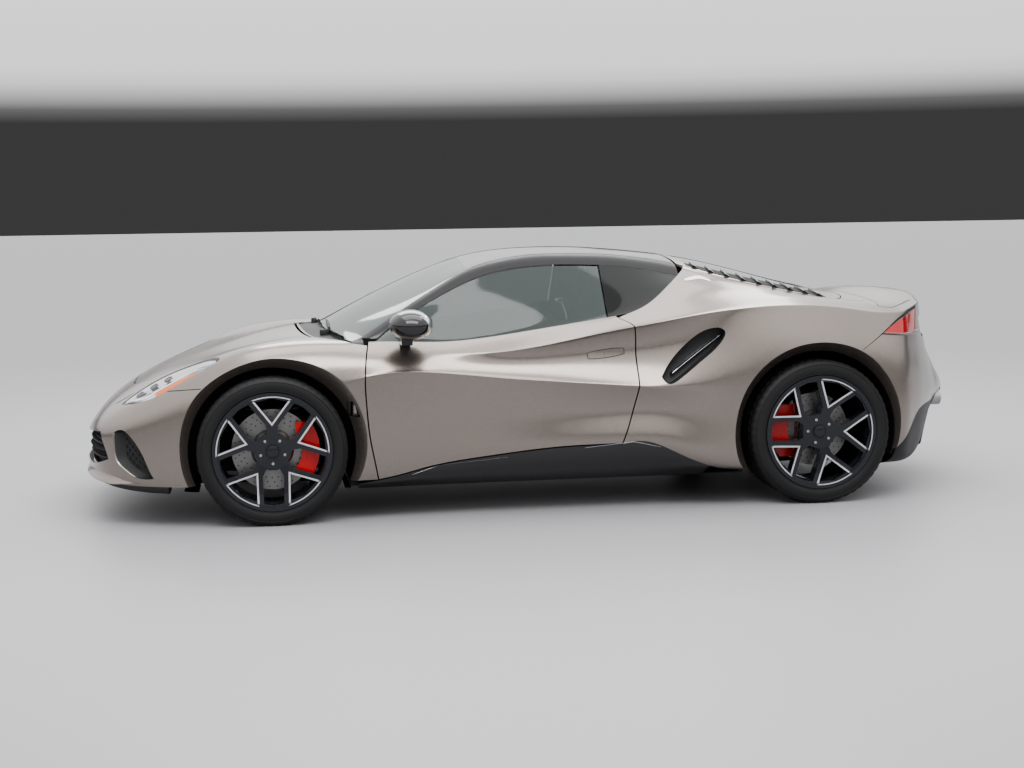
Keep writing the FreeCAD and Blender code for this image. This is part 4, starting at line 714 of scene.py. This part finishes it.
# the body-coloured blade under the intakes; a section row is the share from the top line to the edge, the way
# back from there, the drop, and the drop that thins out with the blade towards its rear end
lipLook = {
    "top": [(2.183, 0.0, 0.288), (2.168, 0.35, 0.284), (2.148, 0.494, 0.276), (2.112, 0.597, 0.262),
            (2.062, 0.673, 0.249), (2.008, 0.722, 0.236), (1.93, 0.772, 0.215), (1.85, 0.812, 0.196)],
    "edge": [(2.214, 0.0, 0.222), (2.200, 0.35, 0.218), (2.180, 0.49, 0.212), (2.135, 0.612, 0.206),
             (2.062, 0.706, 0.194), (1.982, 0.768, 0.184), (1.888, 0.818, 0.180), (1.82, 0.835, 0.184)],
    "section": ((0.0, 0.012, 0.0, 0.0), (0.0, 0.0, 0.0, 0.0), (0.3, 0.007, 0.0, 0.0),
                (0.65, 0.008, 0.0, 0.0), (0.9, 0.003, 0.0, 0.0), (1.0, 0.0, 0.0, 0.0),
                (1.0, 0.002, 0.004, 0.0), (1.0, 0.05, 0.0, 0.012), (0.0, 0.05, 0.0, 0.04)),
    "steps": 60, "thinFrom": 0.72, "thinOver": 0.28, "thinBy": 0.9, "sharp": 40,
}


def makeLip():
    steps, rows = lipLook["steps"], []
    for k, (t, e) in enumerate(zip(along(lipLook["top"], steps), along(lipLook["edge"], steps))):
        past = max(0.0, k / (steps - 1) - lipLook["thinFrom"])
        thin = 1 - lipLook["thinBy"] * past / lipLook["thinOver"]
        e = t.lerp(e, thin)
        out = Vector((e.x - t.x, e.y - t.y, 0))
        out = out.normalized() if out.length > 0.001 else Vector((1, 0, 0))
        rows.append([t.lerp(e, share) - out * back - Vector((0, 0, drop + thinDrop * thin))
                     for share, back, drop, thinDrop in lipLook["section"]])
    rows = [[Vector((p.x, -p.y, p.z)) for p in row] for row in rows[:0:-1]] + rows
    size = len(rows[0])
    verts = [p for row in rows for p in row]
    faces = [(k * size + i, k * size + (i + 1) % size, (k + 1) * size + (i + 1) % size, (k + 1) * size + i)
             for k in range(len(rows) - 1) for i in range(size)]
    faces += [tuple(range(size))[::-1], tuple(range(len(verts) - size, len(verts)))]
    faces = outward(verts, faces)
    addPiece("front_lip_blade", verts, faces, looks["paint"], "chassis", lipLook["sharp"])


makeLip()
honeycomb("corner_mesh", noseLook["cornerMesh"], "nose", ductTree)
honeycomb("nose_mesh", noseLook["noseMesh"], "nose", ductTree, False)
print("nose made")

# the doors' lower strap and hinge, darkened where the front arch shows them
strapLook = {"low": (0.940, 0.840, 0.480), "high": (0.992, 0.872, 0.562)}
for name in ("door_left", "door_right"):
    thing = nodes[name]
    thing.data.materials.append(looks["black_plastic"])
    for polygon in thing.data.polygons:
        p = thing.matrix_world @ polygon.center
        if all(a < b < c for a, b, c in zip(strapLook["low"], (p.x, abs(p.y), p.z), strapLook["high"])):
            polygon.material_index = 1

# flanks: lines are (x, z) in side view
flankLook = {
    "handleGap": {"line": [(-0.128, 0.7297), (-0.305, 0.7493)], "width": 0.042, "lift": 0.0003,
                  "taper": 0.35},
    "handleFlap": {"line": [(-0.131, 0.730), (-0.302, 0.749)], "width": 0.036, "lift": 0.0010,
                   "taper": 0.35},
    # sill: a bright metal strip laid along the black sill blade as a painted highlight
    "sill": {"line": [(0.700, 0.207), (0.438, 0.282), (0.100, 0.312), (-0.274, 0.332), (-0.464, 0.298)],
             "width": 0.004, "lift": 0.0012, "taper": 0.8},
    "vane": {"line": [(-0.530, 0.640), (-0.640, 0.723), (-0.757, 0.811)], "width": 0.005, "lift": 0.0012,
             "taper": 0.5},
}
ribbon("handle_gap", flankLook["handleGap"], "side", doorTree, looks["line"], "door_left")
ribbon("handle_flap", flankLook["handleFlap"], "side", doorTree, looks["paint"], "door_left")
# the sill strip is a painted highlight on the black sill blade
ribbon("sill_painted_highlight", flankLook["sill"], "side", surfaceOf("side_sills"), looks["bell"], "chassis")
ribbon("vane_line", flankLook["vane"], "side", surfaceOf("side_intakes"), looks["bell"], "chassis")
print("flanks made")

# rear: the seams are in plan, the mesh in rear view and the rest in side view
tailLook = {
    "ledge": {"first": [(-1.560, 0.802), (-1.700, 0.7945), (-1.800, 0.7925), (-1.838, 0.796)],
              "second": [(-1.560, 0.797), (-1.700, 0.784), (-1.800, 0.779), (-1.838, 0.786)],
              "lift": 0.010, "steps": 30},
    "brow": {"first": [(-1.430, 0.722), (-1.573, 0.806), (-1.674, 0.862), (-1.760, 0.886), (-1.852, 0.899)],
             "second": [(-1.430, 0.724), (-1.573, 0.812), (-1.674, 0.874), (-1.760, 0.898), (-1.852, 0.911)],
             "lift": 0.0008, "steps": 36},
    "skirt": {"first": [(-1.915, 0.372), (-1.801, 0.368), (-1.703, 0.308), (-1.632, 0.248), (-1.560, 0.229)],
              "second": [(-1.873, 0.311), (-1.752, 0.262), (-1.650, 0.215), (-1.594, 0.190), (-1.566, 0.200)],
              "lift": 0.0010, "steps": 40},
    "seam": {"line": [(-1.612, 0.0), (-1.620, 0.296), (-1.625, 0.556), (-1.585, 0.755)], "width": 0.004,
             "lift": 0.0003, "taper": 0.0},
    "sideSeam": {"line": [(-1.585, 0.755), (-1.679, 0.735), (-1.845, 0.521)], "width": 0.004, "lift": 0.0003,
                 "taper": 0.0},
    "trim": {"line": [(-0.653, 1.064), (-0.735, 1.074), (-0.790, 1.057)], "width": 0.014, "lift": 0.0012,
             "taper": 0.7},
    "mesh": {"outline": [(-0.49, 0.752), (0.49, 0.752), (0.515, 0.842), (-0.515, 0.842)], "pitch": 0.024,
             "wall": 0.0024, "lift": 0.003},
}
skirtTree = surfaceOf("rear_clamshell", "rear_bumper", "rear_diffuser")
trimTree = surfaceOf("rear_clamshell", "roof_frame")
drape("lamp_ledge", tailLook["ledge"], "side", rearTree, looks["paint"], "chassis")
drape("lamp_brow", tailLook["brow"], "side", rearTree, looks["line"], "chassis")
drape("rear_skirt", tailLook["skirt"], "side", skirtTree, looks["pillar"], "chassis")
ribbon("tail_seam", tailLook["seam"], "plan", deckTree, looks["line"], "chassis")
ribbon("tail_seam_side", tailLook["sideSeam"], "plan", deckTree, looks["line"], "chassis")
ribbon("quarter_trim", tailLook["trim"], "side", trimTree, looks["bell"], "chassis")

# louvres beside the rear glass: slats stand across a dark bed at even steps of its edges; the bed is painted
# shade in the openings between the slats
louvreLook = {
    "bed": {"first": [(-0.700, 0.500), (-0.812, 0.532), (-1.043, 0.562), (-1.277, 0.557), (-1.400, 0.535)],
            "second": [(-0.700, 0.430), (-0.812, 0.440), (-1.043, 0.445), (-1.277, 0.420), (-1.400, 0.395)],
            "profile": [(0.0, -0.002), (0.0, 0.0012), (0.5, 0.0014), (1.0, 0.0012), (1.0, -0.002)],
            "steps": 30},
    "slat": [(0.0, 0.0), (0.0, 0.012), (0.25, 0.0125), (1.0, 0.002), (1.0, 0.0)],
    "slats": 9, "edgeSteps": 28, "slatStep": 3, "slatDepth": 0.030, "slatSteps": 5,
}


def makeLouvres():
    tree, bed = surfaceOf("tailgate", "tailgate_glass"), louvreLook["bed"]
    # the dark bed is painted shade in the openings between the slats
    drape("louvre_shade_bed", bed, "plan", tree, looks["line"], "tailgate")
    outer, inner = (along(bed[key], louvreLook["edgeSteps"]) for key in ("first", "second"))
    back = Vector((louvreLook["slatDepth"], 0))
    slats = []
    for k in range(louvreLook["slats"]):
        at = 1 + k * louvreLook["slatStep"]
        row = {"first": [outer[at], inner[at]], "second": [outer[at] - back, inner[at] - back],
               "profile": louvreLook["slat"], "steps": louvreLook["slatSteps"]}
        verts, faces = drapeMesh(row, "plan", tree)
        slats.append((verts, outward(verts, faces)))
    verts, faces = joined(slats)
    bothSides("louvre_slats", verts, faces, looks["gloss_black"], "tailgate")


makeLouvres()

# the diffuser's fins: each outer corner at x = back is drawn in to its own (x, z)
finLook = {"back": -2.09, "foot": 0.150, "wall": 0.004, "near": 0.0005, "nearFoot": 0.001,
           "fins": ({"y": 0.110, "low": (-1.950, 0.200), "top": None},
                    {"y": 0.300, "low": (-1.965, 0.205), "top": (-2.062, 0.395)},
                    {"y": 0.470, "low": (-1.930, 0.200), "top": (-1.970, 0.390)})}


def makeDiffuser():
    thing = nodes["rear_diffuser"]
    verts = []
    for v in thing.data.vertices:
        p = thing.matrix_world @ v.co
        for fin in finLook["fins"]:
            atBack = abs(p.x - finLook["back"]) < finLook["near"]
            if atBack and abs(abs(p.y) - fin["y"]) < finLook["wall"]:
                corner = fin["low"] if abs(p.z - finLook["foot"]) < finLook["nearFoot"] else fin["top"]
                if corner:
                    p.x, p.z = corner
        verts.append(p)
    faces = [tuple(polygon.vertices) for polygon in thing.data.polygons]
    made = addPiece("diffuser_strakes", verts, faces, looks["pillar"], "chassis", 35)
    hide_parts("rear_diffuser")


makeDiffuser()
honeycomb("rear_mesh", tailLook["mesh"], "tail", surfaceOf("rear_grille"), False)
print("rear made")

# wipers, in plan
wiperLook = {"blade": {"width": 0.014, "lift": 0.014, "taper": 0.3},
             "arm": {"width": 0.020, "lift": 0.024, "taper": 0.2}}
wiperLines = {"A": {"blade": [(1.060, -0.40), (1.085, -0.10), (1.070, 0.22)],
                    "arm": [(1.105, -0.08), (1.090, -0.09), (1.085, -0.10)]},
              "B": {"blade": [(1.040, 0.16), (1.035, 0.40), (0.985, 0.62)],
                    "arm": [(1.085, 0.42), (1.060, 0.41), (1.035, 0.40)]}}
wiperTrees = {"blade": screenTree, "arm": surfaceOf("windscreen", "cowl_panel")}
for key, lines in wiperLines.items():
    for part, line in lines.items():
        ribbon(f"wiper_{part}_{key}", {"line": line, **wiperLook[part]}, "plan", wiperTrees[part],
               looks["black_plastic"], "chassis", False)

# mirrors: the glossy cap over the split, and the glass behind it
mirrorLook = {"centre": (0.700, 0.930, 0.900), "reach": (0.1005, 0.1245, 0.0705), "split": 0.006,
              "turns": 40, "rings": 12,
              "glass": {"rows": 8, "columns": 12, "width": 1.45, "height": 1.25, "back": 1.012,
                        "spread": 1.01}}


def makeMirrorCap():
    cx, cy, cz = mirrorLook["centre"]
    rx, ry, rz = mirrorLook["reach"]
    turns, rings = mirrorLook["turns"], mirrorLook["rings"]
    start = math.asin(mirrorLook["split"] / rz)
    verts, faces = [], []
    for j in range(rings):
        lat = start + (math.pi / 2 - start) * j / rings
        for k in range(turns):
            lon = 2 * math.pi * k / turns
            verts.append((cx + rx * math.cos(lat) * math.cos(lon), cy + ry * math.cos(lat) * math.sin(lon),
                          cz + rz * math.sin(lat)))
    verts.append((cx, cy, cz + rz))
    for j in range(rings - 1):
        for k in range(turns):
            a, b = j * turns + k, j * turns + (k + 1) % turns
            faces.append((a, b, b + turns, a + turns))
    last = (rings - 1) * turns
    faces += [(last + k, last + (k + 1) % turns, last + turns) for k in range(turns)]
    faces.append(tuple(range(turns))[::-1])
    bothSides("mirror_cap", verts, faces, looks["gloss_black"], "door_left")


def makeMirrorGlass():
    cx, cy, cz = mirrorLook["centre"]
    rx, ry, rz = mirrorLook["reach"]
    glass = mirrorLook["glass"]
    rows, columns, spread = glass["rows"], glass["columns"], glass["spread"]
    verts = []
    for j in range(rows + 1):
        for k in range(columns + 1):
            y, z = (k / columns - 0.5) * glass["width"], (j / rows - 0.5) * glass["height"]
            depth = math.sqrt(max(0.0, 1 - y * y - z * z))
            verts.append((cx - rx * glass["back"] * depth, cy + ry * y * spread, cz + rz * z * spread))
    wide = columns + 1
    faces = [(j * wide + k, (j + 1) * wide + k, (j + 1) * wide + k + 1, j * wide + k + 1)
             for j in range(rows) for k in range(columns)]
    bothSides("mirror_glass", verts, faces, looks["mirrorGlass"], "door_left")


makeMirrorCap()
makeMirrorGlass()
print("mirrors made")

# brakes: staggered rows of dark discs on the disc's face as painted shade in its drilled holes, and its bell
# with shallow notches
discLook = {"holes": 30, "rows": 3, "edge": 0.014, "rowStep": 0.020, "stagger": 0.34,
            "hole": ((0.0001, 0.0164), (0.0032, 0.0164)), "holeSteps": 8,
            "bell": ((0.0975, 0.0158), (0.0970, 0.0215), (0.0900, 0.0300), (0.0855, 0.0340),
                     (0.0845, 0.0395)),
            "bellSteps": 60, "notch": 0.0035, "notchEvery": 6, "notchRows": 3}


def makeDisc(axle, sideName):
    size = wheelSize[axle]
    cx, cy, cz = size["centre"]

    def notch(i, k):
        return -discLook["notch"] if k % discLook["notchEvery"] == 0 and i < discLook["notchRows"] else 0.0

    holes = []
    for k in range(discLook["holes"]):
        for row in range(discLook["rows"]):
            radius = size["disc"] - discLook["edge"] - row * discLook["rowStep"]
            t = 2 * math.pi * (k + row * discLook["stagger"]) / discLook["holes"]
            at = (cx + radius * math.cos(t), cy, cz + radius * math.sin(t))
            holes.append(lathe(discLook["hole"], discLook["holeSteps"], at))
    bell = lathe(discLook["bell"], discLook["bellSteps"], size["centre"], notch)
    # the holes are flat dark discs, painted shade where the drilled holes are
    addWheelPart("disc_hole_shade", holes, looks["line"], axle, sideName)
    addWheelPart("disc_bell", [bell], looks["bell"], axle, sideName)


for wheel in wheels:
    makeDisc(*wheel)
print("brakes made")

# seats: a pad's place is (x, z) of the middle of its foot, and its size is length, width and height
seatY = 0.370
seatPads = {
    "cushion": {"at": (0.270, 0.292), "size": (0.400, 0.326, 0.050), "turn": 0.0, "channels": 5},
    "back": {"at": (-0.0265, 0.5375), "size": (0.330, 0.326, 0.055), "turn": 112.0, "channels": 5},
    "head": {"at": (-0.128, 0.785), "size": (0.110, 0.170, 0.022), "turn": 112.0, "channels": 1},
}
padLook = {"rows": 45, "columns": 29, "seamWidth": 0.09, "seamDepth": 0.16, "seamFrom": 0.2, "pull": 0.02}


def padMesh(size, channels):
    # a crowned closed pad on a flat foot, with sewn channels across it
    length, width, height = size
    rows, columns, margin = padLook["rows"], padLook["columns"], padLook["seamFrom"]
    verts = []
    for u in np.linspace(-1, 1, rows):
        for v in np.linspace(-1, 1, columns):
            crown = (1 - abs(u) ** 5) ** 0.5 * (1 - abs(v) ** 5) ** 0.5
            phase = (u * 0.5 + 0.5) * channels
            near = (phase - round(phase)) / padLook["seamWidth"]
            seam = math.exp(-near ** 2) if margin < phase < channels - margin else 0.0
            pull = 1 - padLook["pull"] * math.cos(math.pi * v / 2) * abs(u) ** 8
            verts.append(Vector((u * length / 2 * pull, v * width / 2,
                                 height * crown * (1 - padLook["seamDepth"] * seam))))
    count = len(verts)
    faces = [(i * columns + j, (i + 1) * columns + j, (i + 1) * columns + j + 1, i * columns + j + 1)
             for i in range(rows - 1) for j in range(columns - 1)]
    foot = [tuple(i + count for i in face[::-1]) for face in faces]
    verts += [Vector((v.x, v.y, 0.0)) for v in verts]
    rim = [i * columns for i in range(rows)] + [(rows - 1) * columns + j for j in range(1, columns)]
    rim += [i * columns + columns - 1 for i in range(rows - 2, -1, -1)] + list(range(columns - 2, 0, -1))
    faces += [(a, b, b + count, a + count) for a, b in zip(rim, rim[1:] + rim[:1])]
    return verts, faces + foot


for key, row in seatPads.items():
    verts, faces = padMesh(row["size"], row["channels"])
    turn = Matrix.Rotation(math.radians(-row["turn"]), 3, "Y")
    for sideName, sign in (("left", 1), ("right", -1)):
        placed = []
        for v in verts:
            p = turn @ v
            placed.append((p.x + row["at"][0], p.y + sign * seatY, p.z + row["at"][1]))
        pad = addPiece(f"seat_{key}_pad_{sideName}", placed, outward(placed, faces), looks["leather"],
                       "chassis", 60)

# the dashboard's screen: the low and the high edge as (x, z), the half width and the way to its back
screenLook = {"low": (0.584, 0.600), "high": (0.600, 0.765), "half": 0.065, "depth": (-0.010, 0, 0.001)}
half, (lowX, lowZ), (highX, highZ) = screenLook["half"], screenLook["low"], screenLook["high"]
outline = [(lowX, -half, lowZ), (lowX, half, lowZ), (highX, half, highZ), (highX, -half, highZ)]
verts, faces = closedPrism(outline, Vector(screenLook["depth"]))
addPiece("dash_screen", verts, outward(verts, faces), looks["gloss_black"], "chassis")
print("cabin dressed")
